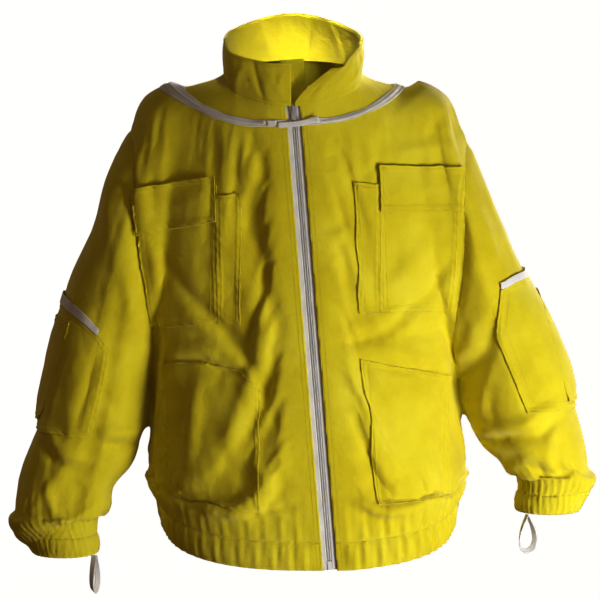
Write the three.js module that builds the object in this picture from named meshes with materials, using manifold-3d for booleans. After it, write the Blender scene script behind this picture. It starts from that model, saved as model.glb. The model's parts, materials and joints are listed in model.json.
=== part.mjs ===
// A beekeeper's cotton jacket, hanging as worn and filled out, with its zip closed.
// Millimetres. +X is the wearer's left, +Y the back, +Z up. The origin is the middle of the neck opening.

import * as THREE from 'three';
import { mergeVertices } from 'three/addons/utils/BufferGeometryUtils.js';
import Module from 'manifold-3d';

const wasm = await Module();
wasm.setup();

// ---- Driving dimensions ----

const GAP = 0.3;                 // clearance between pieces that touch
const PANEL = 2.4;               // body cloth with its seam allowances
const CLOTH = 1.2;               // one folded layer of pocket or casing cloth
const FLAP_CLOTH = 1.5;          // chest flap, two layers with a turned edge
const TOUCH = 0.8;               // hook-and-loop strip
const ELASTIC = 1.4;             // elastic inside the waist and the cuffs

const CHEST = 428;               // width of the torso at the chest
const LENGTH = 677;              // neck opening down to the front of the hem
const ARMHOLE_DEPTH = 360;       // neck opening down to the underarm
const WAISTBAND = 38;            // height of the waistband
const SLEEVE_DROP = 676;         // neck opening down to the end of the right cuff, along Z
const CUFF = 27;                 // height of the cuffs
const COLLAR_HEIGHT = 54;        // stand of the collar at the sides

const ZIP_TOP = new THREE.Vector3(0, -100.5, -45);
const ZIP_HEM_X = 51;            // the closed front wanders this far to the left at the hem
const FRONT_LEAN = 0.0554;       // how far the front comes forward for each millimetre down
const TAPE_EDGE = 9.5;           // half of the tape that shows between the two fronts
const TAPE_WIDTH = 15;           // from the middle of the zip to the sewn edge of the tape
const TAPE = 0.8;                // thickness of woven tape
const CHAIN_SPLIT = 0.6;         // half of the space that the slider's post runs in
const CHAIN_EDGE = 2.9;          // middle of the zip to the outer side of one chain
const CHAIN = 2.4;               // thickness of the chain
const PLATE = 1.3;               // thickness of a slider plate
const SLIDER_WIDTH = 9.5;
const SLIDER_LENGTH = 14;
const SLIDER_AT = 8;             // middle of the slider below the top of the zip
const PULL_LENGTH = 14;
const ZIP_END = 13;              // box and pin at the foot of the zip
const GUARD_WIDTH = 34;          // wind guard behind the zip
const GUARD_RISE = 60;           // how far the guard stands above the zip

const HOOD_TAPE_SPREAD = 3.6;    // degrees of the yoke covered by the hood zip's tape
const HOOD_CHAIN_SPREAD = 1.3;
const HOOD_TAIL_WIDTH = 8;
const HOOD_TAIL = [-22, 33];     // reach of the loose end, either side of the front zip

const CHEST_FLAP = { width: 118, height: 60 };
const CHEST_POCKET_HEIGHT = 158;
const PEN_POCKET_WIDTH = 34;
const LOWER_POCKET = { width: 124, height: 178 };
const LOOP_HEIGHT = 54;          // elastic thumb loops at the cuffs
const LOOP_WIDTH = 26;
const LOOP_TAPE = 8;

// ---- Solids ----

const COTTON = { color: 0xd9ce12, roughness: 0.9 };
const COTTON_INNER = { color: 0xcabd18, roughness: 0.92 };
const WHITE_TAPE = { color: 0xe9e9e4, roughness: 0.85 };
const WHITE_NYLON = { color: 0xf4f4f0, roughness: 0.45 };
const METAL = { color: 0xa8aaa8, roughness: 0.35, metalness: 0.9 };
const HOOK_LOOP = { color: 0xd2c92a, roughness: 1.0 };
const ELASTIC_WEB = { color: 0xdcdcd6, roughness: 0.9 };

const group = new THREE.Group();

/** A three.js geometry as a manifold solid, turned inside out if its faces point inwards. */
function solid(geometry) {
  const bare = geometry.index ? geometry.clone() : geometry;
  for (const name of Object.keys(bare.attributes)) if (name !== 'position') bare.deleteAttribute(name);
  const merged = mergeVertices(bare, 1e-5);
  const places = merged.attributes.position.array;
  const faces = Uint32Array.from(merged.index.array);
  const corner = (i) => new THREE.Vector3().fromArray(places, 3 * i);
  let volume = 0;
  for (let i = 0; i < faces.length; i += 3) {
    volume += corner(faces[i]).dot(corner(faces[i + 1]).cross(corner(faces[i + 2])));
  }
  if (volume < 0) {
    for (let i = 0; i < faces.length; i += 3) [faces[i], faces[i + 1]] = [faces[i + 1], faces[i]];
  }
  const vertProperties = Float32Array.from(places);
  return new wasm.Manifold(new wasm.Mesh({ numProp: 3, vertProperties, triVerts: faces }));
}

/** Rows of points, closed round each row, skinned from row to row and capped at both ends. */
function loft(rows) {
  const across = rows[0].length;
  const places = rows.flat().flatMap((p) => [p.x, p.y, p.z]);
  const faces = [];
  for (let i = 0; i + 1 < rows.length; i++) {
    for (let j = 0; j < across; j++) {
      const a = i * across + j, b = i * across + ((j + 1) % across);
      faces.push(a, b, b + across, a, b + across, a + across);
    }
  }
  for (const [row, flip] of [[0, true], [rows.length - 1, false]]) {
    const middle = new THREE.Vector3();
    for (const p of rows[row]) middle.addScaledVector(p, 1 / across);
    const hub = places.length / 3;
    places.push(middle.x, middle.y, middle.z);
    for (let j = 0; j < across; j++) {
      const a = row * across + j, b = row * across + ((j + 1) % across);
      faces.push(...(flip ? [b, a, hub] : [a, b, hub]));
    }
  }
  return meshed(places, faces);
}

/** Rows of points closed both round each row and from the last row back to the first. */
function ringLoft(rows) {
  const across = rows[0].length;
  const places = rows.flat().flatMap((p) => [p.x, p.y, p.z]);
  const faces = [];
  rows.forEach((row, i) => row.forEach((_, j) => {
    const next = ((i + 1) % rows.length) * across, right = (j + 1) % across;
    const a = i * across + j, b = i * across + right;
    faces.push(a, b, next + right, a, next + right, next + j);
  }));
  return meshed(places, faces);
}

function meshed(places, faces) {
  const geometry = new THREE.BufferGeometry();
  geometry.setAttribute('position', new THREE.Float32BufferAttribute(places, 3));
  geometry.setIndex(faces);
  return solid(geometry);
}

/** An outline extruded along one axis: the outline's two numbers lie on the axes u and v. */
function prism(points, depth, u, v, along) {
  const shape = new THREE.Shape(points.map(([a, b]) => new THREE.Vector2(a, b)));
  const geometry = new THREE.ExtrudeGeometry(shape, { depth: depth[1] - depth[0], bevelEnabled: false });
  geometry.translate(0, 0, depth[0]);
  return solid(geometry.applyMatrix4(new THREE.Matrix4().makeBasis(u, v, along)));
}

const X = new THREE.Vector3(1, 0, 0), Y = new THREE.Vector3(0, 1, 0), Z = new THREE.Vector3(0, 0, 1);
const REACH = 900;               // further than any part of the jacket
const deg = THREE.MathUtils.degToRad;

/** A front-view outline of (x, z) corners, through the depths y0 to y1. */
const frontPrism = (points, y0 = -REACH, y1 = REACH) => prism(points, [y0, y1], X, Z, Y);

/** A side-view outline of (y, z) corners, from x0 to x1. */
const sidePrism = (points, x0 = -REACH, x1 = REACH) => prism(points, [x0, x1], Y, Z, X);

const slab = (z0, z1, x0, x1) => frontPrism([[x0, z0], [x1, z0], [x1, z1], [x0, z1]]);

/** A seam: the line of (a, b) corners as a cut as wide as the clearance. */
function kerfOutline(line) {
  const side = (k, way) => {
    const before = line[Math.max(k - 1, 0)], after = line[Math.min(k + 1, line.length - 1)];
    const run = new THREE.Vector2(after[0] - before[0], after[1] - before[1]).normalize();
    return [line[k][0] - way * run.y * GAP / 2, line[k][1] + way * run.x * GAP / 2];
  };
  const one = line.map((_, k) => side(k, 1)), other = line.map((_, k) => side(k, -1));
  return [...one, ...other.reverse()];
}

function add(name, manifold, material) {
  const { vertProperties, triVerts, numProp } = manifold.getMesh();
  const places = [];
  for (let i = 0; i < vertProperties.length; i += numProp) places.push(...vertProperties.slice(i, i + 3));
  const geometry = new THREE.BufferGeometry();
  geometry.setAttribute('position', new THREE.Float32BufferAttribute(places, 3));
  geometry.setIndex([...triVerts]);
  geometry.computeVertexNormals();
  const mesh = new THREE.Mesh(geometry, new THREE.MeshStandardMaterial(material));
  mesh.name = name;
  group.add(mesh);
}

// ---- The zip's own frame: down the zip, across it, and out from it ----

const ZIP_FALL = LENGTH + ZIP_TOP.z;   // height of the zip
const DOWN = new THREE.Vector3(ZIP_HEM_X, -FRONT_LEAN * ZIP_FALL, -ZIP_FALL).normalize();
const OUT = new THREE.Vector3(0, -1, 0).addScaledVector(DOWN, DOWN.y).normalize();
const LEFT = new THREE.Vector3().crossVectors(OUT, DOWN);
const ZIP_RUN = ZIP_FALL / -DOWN.z;

/** A place in the zip's frame: s down it, l across it to the wearer's left, n out from it. */
const zipPoint = (s, l, n) => ZIP_TOP.clone()
  .addScaledVector(DOWN, s).addScaledVector(LEFT, l).addScaledVector(OUT, n);

/** A box in the zip's frame, from down, across and out ranges. */
function zipBox(s, l, n) {
  const corners = [[s[0], l[0]], [s[0], l[1]], [s[1], l[1]], [s[1], l[0]]];
  return zipPlate(corners, n);
}

/** An outline of (down, across) corners with a thickness, in the zip's frame. */
const zipPlate = (points, n) => loft([n[0], n[1]].map((out) => points.map(([s, l]) => zipPoint(s, l, out))));

const zipX = (z) => ZIP_TOP.x + (ZIP_TOP.z - z) * DOWN.x / -DOWN.z;
const zipPlaneY = (x, z) => ZIP_TOP.y - (OUT.x * (x - ZIP_TOP.x) + OUT.z * (z - ZIP_TOP.z)) / OUT.y;

// ---- The body's skin ----

// The sizes that the tables of sections are drawn at
const DRAWN_CHEST = 428, DRAWN_LENGTH = 677, DRAWN_SLEEVE = 676;
const widen = (CHEST - DRAWN_CHEST) / 2;

/** Heights under the arms stretch with the jacket's length. */
function bodyZ(z) {
  if (z > -ARMHOLE_DEPTH) return z;
  const stretch = (LENGTH - ARMHOLE_DEPTH) / (DRAWN_LENGTH - ARMHOLE_DEPTH);
  return -ARMHOLE_DEPTH + (z + ARMHOLE_DEPTH) * stretch;
}

// Height, half width, middle of the width, depth of the side, depth of the back, squareness
const TORSO = [
  [60, 88, 0, 10, 62, 1.9], [20, 90, 0, 10, 68, 1.9], [0, 90, 0, 10, 75, 1.9], [-12, 106, 0, 10, 80, 1.75],
  [-20, 136, 0, 10, 84, 1.6], [-28, 165, 0, 10, 88, 1.5], [-40, 196, 0, 12, 94, 1.45],
  [-60, 210, 0, 13, 105, 1.6],
  [-110, 215, 2, 16, 130, 2.0], [-200, 214, 6, 22, 150, 2.35], [-300, 212, 10, 23, 158, 2.4],
  [-390, 213, 14, 25, 158, 2.4], [-480, 218, 19, 24, 158, 2.4], [-560, 230, 19, 22, 160, 2.4],
  [-590, 222, 21, 21, 155, 2.4], [-615, 208, 21, 21, 147, 2.4], [-640, 205, 22, 20, 140, 2.4],
  [-705, 203, 22, 20, 140, 2.4],
].map(([z, wide, ...rest]) => [bodyZ(z), wide + widen * THREE.MathUtils.smoothstep(-z, 12, 60), ...rest]);

function torsoAt(z) {
  let k = 0;
  while (k < TORSO.length - 2 && TORSO[k + 1][0] > z) k++;
  const t = (z - TORSO[k][0]) / (TORSO[k + 1][0] - TORSO[k][0]);
  return TORSO[k].map((v, i) => v + t * (TORSO[k + 1][i] - v));
}

const frontDepth = (z) => ZIP_TOP.y + FRONT_LEAN * (z - ZIP_TOP.z);

/** Depth of the skin at (x, z): the front below the side line, or the back above it. */
function torsoY(x, z, back) {
  const [, wide, middle, side, rear, square] = torsoAt(z);
  const share = Math.min(Math.abs(x - middle) / wide, 1);
  const bulge = (1 - share ** square) ** (1 / square);
  return side + ((back ? rear : frontDepth(z)) - side) * bulge;
}

const ZIP_FLAT = TAPE_WIDTH + 2; // the front lies flat this far from the middle of the zip
const FRONT_STEPS = 9, BACK_STEPS = 16;

/** One row of the skin: across the front from the zip to each side, then round the back. */
function torsoRow(z) {
  const [, wide, middle, side] = torsoAt(z);
  const row = [];
  const half = (way) => Array.from({ length: FRONT_STEPS + 1 }, (_, k) => {
    const start = zipX(z) + way * ZIP_FLAT;
    const x = start + Math.sin(k / FRONT_STEPS * Math.PI / 2) * (middle + way * wide - start);
    if (k === 0) return new THREE.Vector3(x, zipPlaneY(x, z), z);
    return new THREE.Vector3(x, k === FRONT_STEPS ? side : torsoY(x, z, false), z);
  });
  row.push(...half(-1).reverse(), ...half(1));
  for (let k = 1; k < BACK_STEPS; k++) {
    const x = middle + wide * Math.cos(k / BACK_STEPS * Math.PI);
    row.push(new THREE.Vector3(x, torsoY(x, z, true), z));
  }
  return row;
}

/** Rows of points moved out along the skin's own normals. */
function offset(rows, out) {
  const across = rows[0].length;
  return rows.map((row, i) => {
    const middle = new THREE.Vector3();
    for (const p of row) middle.addScaledVector(p, 1 / across);
    const up = rows[Math.max(i - 1, 0)], below = rows[Math.min(i + 1, rows.length - 1)];
    return row.map((p, j) => {
      const round = row[(j + 1) % across].clone().sub(row[(j + across - 1) % across]);
      const normal = below[j].clone().sub(up[j]).cross(round).normalize();
      if (normal.dot(p.clone().sub(middle)) < 0) normal.negate();
      return p.clone().addScaledVector(normal, out);
    });
  });
}

const torsoRows = TORSO.map(([z]) => torsoRow(z));

// Sleeves: middle of the tube (x, y, z), half width and half depth, from inside the shoulder to past the cuff
const sleeveZ = (z) => z > -ARMHOLE_DEPTH ? z
  : -ARMHOLE_DEPTH + (z + ARMHOLE_DEPTH) * (SLEEVE_DROP - ARMHOLE_DEPTH) / (DRAWN_SLEEVE - ARMHOLE_DEPTH);
const ARMS = {
  right: {
    way: -1, elbow: sleeveZ(-512), cuffEnd: sleeveZ(-676),
    route: [
      [-120, 12, -80, 80, 78], [-154, 14, -107, 89, 80], [-182, 16, -150, 88, 80], [-218, 18, -235, 80, 80],
      [-261, 20, -320, 73, 78], [-281, 20, -400, 77, 78], [-291, 17, -465, 80, 79], [-300, 13, -508, 75, 76],
      [-319, 7, -538, 67, 72], [-331, 0, -590, 72, 70], [-331, -6, -620, 73, 68], [-327, -10, -637, 64, 62],
      [-322, -13, -649, 46, 46], [-320, -15, -676, 46, 46], [-319, -16, -703, 46, 46],
    ],
    seam: [[-244, 30], [-240, -62], [-201, -372], [-203, -450], [-222, -560], [-222, -740]],
  },
  left: {
    way: 1, elbow: sleeveZ(-478), cuffEnd: sleeveZ(-615),
    route: [
      [125, 12, -76, 80, 78], [159, 14, -103, 88, 80], [186, 16, -146, 87, 80], [230, 18, -230, 80, 80],
      [274, 20, -310, 74, 78], [308, 20, -380, 76, 78], [325, 16, -438, 82, 79], [336, 12, -474, 79, 77],
      [353, 6, -506, 67, 71], [364, 0, -540, 64, 66], [367, -7, -560, 62, 62], [365, -11, -576, 56, 56],
      [361, -14, -588, 45, 45], [357, -16, -615, 45, 45], [356, -17, -642, 45, 45],
    ],
    seam: [[259, 30], [255, -66], [229, -380], [240, -450], [262, -560], [262, -740]],
  },
};
const SLEEVE_SIDES = 16;

for (const arm of Object.values(ARMS)) {
  arm.route = arm.route.map(([x, y, z, wide, deep]) => [x + arm.way * widen, y, sleeveZ(z), wide, deep]);
  arm.seam = arm.seam.map(([x, z]) => [x + arm.way * widen, bodyZ(z)]);
  arm.rows = arm.route.map(([x, y, z, wide, deep], k) => {
    const place = (row) => new THREE.Vector3(row[0], row[1], row[2]);
    const before = place(arm.route[Math.max(k - 1, 0)]);
    const after = place(arm.route[Math.min(k + 1, arm.route.length - 1)]);
    const along = after.sub(before).normalize();
    const sideways = new THREE.Vector3().crossVectors(Y, along).normalize();
    const depthways = new THREE.Vector3().crossVectors(along, sideways);
    return Array.from({ length: SLEEVE_SIDES }, (_, j) => {
      const turn = j / SLEEVE_SIDES * 2 * Math.PI;
      return new THREE.Vector3(x, y, z).addScaledVector(sideways, wide * Math.cos(turn))
        .addScaledVector(depthways, deep * Math.sin(turn));
    });
  });
}

const kept = new Map();
const keep = (key, make) => kept.get(key) ?? kept.set(key, make()).get(key);
const torso = (out) => keep(`torso ${out.toFixed(3)}`, () => loft(offset(torsoRows, out)));
const sleeve = (side, out) => keep(`${side} ${out.toFixed(3)}`, () => loft(offset(ARMS[side].rows, out)));
const whole = (out) => keep(`whole ${out.toFixed(3)}`,
  () => torso(out).add(sleeve('right', out)).add(sleeve('left', out)));

/** A layer of cloth over the whole jacket, the torso or one sleeve, between two distances from the skin. */
const layer = (shape, [inner, outer]) => shape(outer).subtract(shape(inner));

// ---- Seams and openings of the shell ----

// The neck opening's edge, as (y, z) from the front to the back: it dips only at the throat
const NECK = [
  [-300, -165], [-100, -45], [-80, -32], [-60, -20], [-40, -11.5], [-14, -5], [10, -2], [75, 12], [300, 60],
];

function neckZ(y) {
  const k = NECK.findIndex((corner, i) => i > 0 && corner[0] >= y);
  const [[y0, z0], [y1, z1]] = [NECK[k - 1], NECK[k]];
  return z0 + (y - y0) / (y1 - y0) * (z1 - z0);
}
const aboveNeck = sidePrism([...NECK, [300, REACH], [-300, REACH]]);

const HEM = [[-200, bodyZ(-687)], [-135, bodyZ(-677)], [25, bodyZ(-638)], [400, bodyZ(-638)]];
const WAIST = HEM.map(([y, z]) => [y, z + WAISTBAND]);
const belowWaist = sidePrism([...WAIST, [400, -REACH], [-200, -REACH]]);
const band = sidePrism([...WAIST.map(([y, z]) => [y, z - GAP]), ...HEM.toReversed()]);

const SIDE_SEAM = 15;            // depth of the side and shoulder seams
const armside = Object.fromEntries(Object.entries(ARMS).map(([side, arm]) => {
  const far = arm.way * REACH;
  const outline = [...arm.seam, [far, arm.seam.at(-1)[1]], [far, arm.seam[0][1]]];
  return [side, frontPrism(outline)];
}));
const armholes = Object.values(ARMS).map((arm) => frontPrism(kerfOutline(arm.seam)));
const ZIP_DEPTH = [-60, 60];     // cuts along the zip reach this far out from its plane, both ways
const zipOpening = zipBox([-2 * GUARD_RISE, 2 * ZIP_RUN], [-TAPE_EDGE, TAPE_EDGE], ZIP_DEPTH);
const sideSeams = frontPrism(
  [...ARMS.right.seam, ...ARMS.left.seam.toReversed()], SIDE_SEAM - GAP / 2, SIDE_SEAM + GAP / 2);

/** The solid whose bounding box has its middle nearest to a point: the one a seam line has cut free. */
function pieceAt(pieces, x, y, z) {
  const here = new THREE.Vector3(x, y, z);
  const middle = (piece) => {
    const { min, max } = piece.boundingBox();
    return new THREE.Vector3().fromArray(min).add(new THREE.Vector3().fromArray(max)).multiplyScalar(0.5);
  };
  const away = (piece) => middle(piece).distanceTo(here);
  return pieces.reduce((best, piece) => (away(piece) < away(best) ? piece : best));
}

let shell = layer(whole, [-PANEL, 0]).subtract(aboveNeck).subtract(zipOpening);
for (const cut of armholes) shell = shell.subtract(cut);
const forTorso = (manifold) => manifold.subtract(armside.right).subtract(armside.left);
const bodyShell = forTorso(shell).subtract(belowWaist).subtract(sideSeams);
const SCRAP = 1000;              // cubic millimetres: what the seams cut free below this is waste
const bodyPieces = bodyShell.decompose().filter((piece) => piece.volume() > SCRAP);

add('front_panel_right', pieceAt(bodyPieces, -110, -60, -330), COTTON);
add('front_panel_left', pieceAt(bodyPieces, 130, -60, -330), COTTON);
add('back_panel', pieceAt(bodyPieces, 10, 90, -300), COTTON);

const bandCasing = forTorso(layer(torso, [-CLOTH, 0]).intersect(band))
  .subtract(zipOpening).subtract(sideSeams);
const casings = bandCasing.decompose();
add('waistband_front_right', pieceAt(casings, -90, -50, -640), COTTON);
add('waistband_front_left', pieceAt(casings, 130, -50, -640), COTTON);
add('waistband_back', pieceAt(casings, 20, 80, -620), COTTON);

const stopAtTape = zipBox([0, 2 * ZIP_RUN], [-ZIP_FLAT, ZIP_FLAT], ZIP_DEPTH);
const ELASTIC_LAYER = [-CLOTH - GAP - ELASTIC, -CLOTH - GAP];
const FACING_LAYER = [ELASTIC_LAYER[0] - GAP - CLOTH, ELASTIC_LAYER[0] - GAP];
add('waist_elastic', layer(torso, ELASTIC_LAYER).intersect(band).subtract(stopAtTape), ELASTIC_WEB);
add('waistband_facing', layer(torso, FACING_LAYER).intersect(band).subtract(stopAtTape), COTTON_INNER);

// ---- Sleeves ----

const INSIDE_ARM = 60;           // the sleeves lie further than this from the middle of the jacket
for (const [side, arm] of Object.entries(ARMS)) {
  const cuffTop = arm.cuffEnd + CUFF;
  const reach = [arm.way * INSIDE_ARM, arm.way * REACH].sort((a, b) => a - b);
  const cloth = shell.intersect(armside[side]);
  const upper = cloth.subtract(slab(-REACH, arm.elbow + GAP / 2, ...reach));
  const lower = cloth.intersect(slab(cuffTop, arm.elbow - GAP / 2, ...reach));
  add(`sleeve_upper_${side}`, upper.decompose().reduce((a, b) => (a.volume() > b.volume() ? a : b)), COTTON);
  add(`sleeve_lower_${side}`, lower, COTTON);
  const cuffBand = slab(arm.cuffEnd, cuffTop - GAP, ...reach);
  const tube = (out) => sleeve(side, out);
  add(`cuff_${side}`, layer(tube, [-CLOTH, 0]).intersect(cuffBand), COTTON);
  add(`cuff_elastic_${side}`, layer(tube, ELASTIC_LAYER).intersect(cuffBand), ELASTIC_WEB);
}

// ---- Elastic thumb loops, sewn under the cuffs ----

/** A drop-shaped outline hanging from its tip at (0, top). */
function drop(width, height, top) {
  const steps = 22, fullest = 0.738;
  return Array.from({ length: steps }, (_, k) => {
    const t = (k + 0.5) / steps * 2 * Math.PI;
    const across = width / 2 / fullest * Math.sin(t) * Math.sin(t / 2) ** 1.2;
    return [across, top - height * (1 - Math.cos(t)) / 2];
  });
}

// Where each loop hangs round its cuff, and which way its face is turned, in degrees
const LOOPS = { right: { round: -20, turn: 75 }, left: { round: -135, turn: 25 } };
const LOOP_INSET = 2;            // the loops hang this far inside the cuffs' edge
for (const [side, { round, turn }] of Object.entries(LOOPS)) {
  const [x, y, , wide] = ARMS[side].route.at(-2);
  const way = deg(round), reach = wide - LOOP_INSET;
  const tape = prism(drop(LOOP_WIDTH, LOOP_HEIGHT, 0), [-LOOP_TAPE / 2, LOOP_TAPE / 2], X, Z, Y);
  const eyeOutline = drop(LOOP_WIDTH - 2 * ELASTIC, LOOP_HEIGHT - 4 * ELASTIC, -3 * ELASTIC);
  const eye = prism(eyeOutline, [-LOOP_TAPE, LOOP_TAPE], X, Z, Y);
  const hang = new THREE.Matrix4().makeRotationZ(deg(turn)).setPosition(
    x + reach * Math.cos(way), y + reach * Math.sin(way), ARMS[side].cuffEnd - GAP);
  add(`finger_loop_${side}`, tape.subtract(eye).transform(hang.elements), ELASTIC_WEB);
}

// ---- Collar ----

const insideTorso = (x, y, z) => {
  const [, wide, middle] = torsoAt(z);
  return Math.abs(x - middle) < wide && y > torsoY(x, z, false) && y < torsoY(x, z, true);
};

const COLLAR_MIDDLE_Y = -14;
const round = (turn) => new THREE.Vector3(Math.sin(turn), -Math.cos(turn), 0);

/** The edge of the neck opening, turned from the front round by the wearer's left. */
function neckEdge(turn) {
  let near = 20, far = 200;
  for (let k = 0; k < 40; k++) {
    const reach = (near + far) / 2, way = round(turn);
    const y = COLLAR_MIDDLE_Y + reach * way.y;
    if (insideTorso(reach * way.x, y, neckZ(y))) near = reach; else far = reach;
  }
  const way = round(turn), y = COLLAR_MIDDLE_Y + near * way.y;
  return new THREE.Vector3(near * way.x, y, neckZ(y));
}

const COLLAR_START = deg(1.4);   // the collar's ends, either side of the middle front
const COLLAR_DIP = 8, COLLAR_BACK_RISE = 13;
const COLLAR_FALL = new THREE.Vector3(50, -6, -6);    // how far the left corner falls open
const COLLAR_FALL_SPREAD = deg(62);
const COLLAR_BOW = 2.5;
const COLLAR_SEAT = 0.75;        // the collar's foot stands this far above the neck edge

/** A band that stands on the neck edge, between two distances out from it. */
function collarBand([inner, outer]) {
  const steps = 36;
  return loft(Array.from({ length: steps + 1 }, (_, k) => {
    const turn = COLLAR_START + k / steps * (2 * Math.PI - 2 * COLLAR_START);
    const foot = neckEdge(turn), out = round(turn);
    const height = COLLAR_HEIGHT - COLLAR_DIP * Math.sin(turn) ** 2
      + COLLAR_BACK_RISE * ((1 - Math.cos(turn)) / 2) ** 4;
    const fall = 1 - THREE.MathUtils.smoothstep(turn, 0, COLLAR_FALL_SPREAD);
    const point = (share, distance) => {
      const place = foot.clone().addScaledVector(out, distance);
      return place.setZ(neckZ(place.y) + COLLAR_SEAT + share * height)
        .addScaledVector(out, COLLAR_BOW * Math.sin(share * Math.PI))
        .addScaledVector(COLLAR_FALL, fall * share ** 1.3);
    };
    const shares = [0, 0.5, 1];
    const outerSide = shares.map((share) => point(share, outer));
    return [point(0, inner), ...outerSide, point(1, inner), point(0.5, inner)];
  }));
}

const COLLAR_CLOTH = 1.5, COLLAR_EASE = 0.95;
add('collar_outer', collarBand([0, COLLAR_CLOTH]), COTTON);
add('collar_inner', collarBand([-COLLAR_EASE - COLLAR_CLOTH, -COLLAR_EASE]), COTTON_INNER);

// ---- Front zip, with the guard behind it ----

const TAPE_OUT = -PANEL - GAP, TAPE_IN = TAPE_OUT - TAPE;
const CHAIN_OUT = (TAPE_OUT + TAPE_IN) / 2 + CHAIN / 2, CHAIN_IN = CHAIN_OUT - CHAIN;
const CHAIN_HEAD = 3, CHAIN_FOOT = ZIP_RUN - 1 - ZIP_END;
const RUNNING = 0.4;             // clearance between the slider and the chains

for (const [side, way] of [['right', -1], ['left', 1]]) {
  const lateral = (a, b) => [way * a, way * b].sort((p, q) => p - q);
  const chain = [CHAIN_IN, CHAIN_OUT];
  add(`front_zip_tape_${side}`,
    zipBox([GAP, ZIP_RUN - 1], lateral(CHAIN_EDGE + GAP, TAPE_WIDTH), [TAPE_IN, TAPE_OUT]), WHITE_TAPE);
  const teeth = lateral(CHAIN_SPLIT, CHAIN_EDGE);
  add(`front_zip_chain_${side}`, zipBox([CHAIN_HEAD, CHAIN_FOOT], teeth, chain), WHITE_NYLON);
  add(`front_zip_top_stop_${side}`, zipBox([GAP, CHAIN_HEAD - GAP], teeth, chain), METAL);
}

// The slider's outline in shares of its length and its width
const sliderOutline = [[-0.5, -0.36], [-0.36, -0.5], [0.21, -0.5], [0.5, -0.32], [0.5, 0.32], [0.21, 0.5],
  [-0.36, 0.5], [-0.5, 0.36]].map(([s, l]) => [SLIDER_AT + s * SLIDER_LENGTH, l * SLIDER_WIDTH]);
const frontPlate = [CHAIN_OUT + RUNNING, CHAIN_OUT + RUNNING + PLATE];
const backPlate = [CHAIN_IN - RUNNING - PLATE, CHAIN_IN - RUNNING];
const BRIDGE = { half: 3.9, post: 1, width: 0.9, bar: 0.6, room: 1.9 };
const WEDGE = [-6, -3];          // the post between the plates that parts the two chains
const bridgeTop = frontPlate[1] + BRIDGE.room + BRIDGE.bar;
const acrossBridge = [-BRIDGE.width, BRIDGE.width];
const alongSlider = ([a, b]) => [SLIDER_AT + a, SLIDER_AT + b];
const wedgeDepth = [backPlate[1] - PLATE / 2, frontPlate[0] + PLATE / 2];
const bridgeBar = zipBox(
  alongSlider([-BRIDGE.half, BRIDGE.half]), acrossBridge, [bridgeTop - BRIDGE.bar, bridgeTop]);
let slider = zipPlate(sliderOutline, frontPlate).add(zipPlate(sliderOutline, backPlate)).add(bridgeBar)
  .add(zipBox(alongSlider(WEDGE), [-CHAIN_SPLIT / 2, CHAIN_SPLIT / 2], wedgeDepth));
for (const end of [-BRIDGE.half, BRIDGE.half - BRIDGE.post]) {
  const post = alongSlider([end, end + BRIDGE.post]);
  slider = slider.add(zipBox(post, acrossBridge, [frontPlate[1] - PLATE / 2, bridgeTop]));
}
add('front_zip_slider', slider, METAL);

const PULL = { bar: 0.5, inner: 1.4, outer: 2.6, eye: 4.6, half: 3.2 };
const pullAxis = frontPlate[1] + BRIDGE.room / 2;
const pullDepth = [pullAxis - PULL.bar, pullAxis + PULL.bar];
let pull = zipBox([SLIDER_AT - PULL.bar, SLIDER_AT + PULL.bar], [-PULL.outer, PULL.outer], pullDepth)
  .add(zipBox([SLIDER_AT + PULL.eye, SLIDER_AT + PULL_LENGTH], [-PULL.half, PULL.half], pullDepth));
for (const arm of [[-PULL.outer, -PULL.inner], [PULL.inner, PULL.outer]]) {
  pull = pull.add(zipBox([SLIDER_AT - PULL.bar, SLIDER_AT + PULL.eye + 1], arm, pullDepth));
}
add('front_zip_pull', pull, METAL);

const PIN = { across: [-2.1, -0.9], out: [CHAIN_IN + 0.5, CHAIN_OUT - 0.5], spare: 2 };
const grown = ([a, b]) => [a - GAP, b + GAP];
const pinFoot = ZIP_RUN - 1 - PIN.spare;
const BOX_WALL = 0.5, BOX_START = CHAIN_FOOT + 1.3;
const boxDepth = [CHAIN_IN - BOX_WALL, CHAIN_OUT + BOX_WALL];
const pinHole = zipBox([CHAIN_FOOT, pinFoot + GAP], grown(PIN.across), grown(PIN.out));
const box = zipBox([BOX_START, ZIP_RUN - 1], [-CHAIN_EDGE, CHAIN_EDGE], boxDepth);
add('front_zip_box', box.subtract(pinHole), WHITE_NYLON);
add('front_zip_pin', zipBox([CHAIN_FOOT + GAP, pinFoot], PIN.across, PIN.out), METAL);

const guardOut = backPlate[0] - 2 * RUNNING;
const guardSeam = -TAPE_WIDTH + 1, guardFoot = ZIP_RUN - 2, seamHead = 3, seamWidth = 2.5;
const guardSheet = [guardOut - CLOTH, guardOut];
const guard = zipBox([-GUARD_RISE, guardFoot], [guardSeam, guardSeam + GUARD_WIDTH], guardSheet)
  .add(zipBox([seamHead, guardFoot], [guardSeam, guardSeam + seamWidth], [guardOut - CLOTH, TAPE_IN - GAP]));
add('zip_guard', guard, COTTON_INNER);

// ---- Hood zip round the yoke, with its loose end over the front zip ----

const YOKE_APEX_Z = -120;
const YOKE_REACH = [60, 280];    // the cones are cut between these distances from the neck's axis

/** How steeply the hood zip's line rises from the axis below the neck, in radians. */
const yokeRise = (turn) => deg(26 + 11 * ((1 - Math.cos(turn)) / 2) ** 0.92 + 1.8 * Math.sin(turn)
  - (Math.cos(turn) > 0 ? 2.4 * Math.sin(2 * turn) ** 2 : 0));

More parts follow.
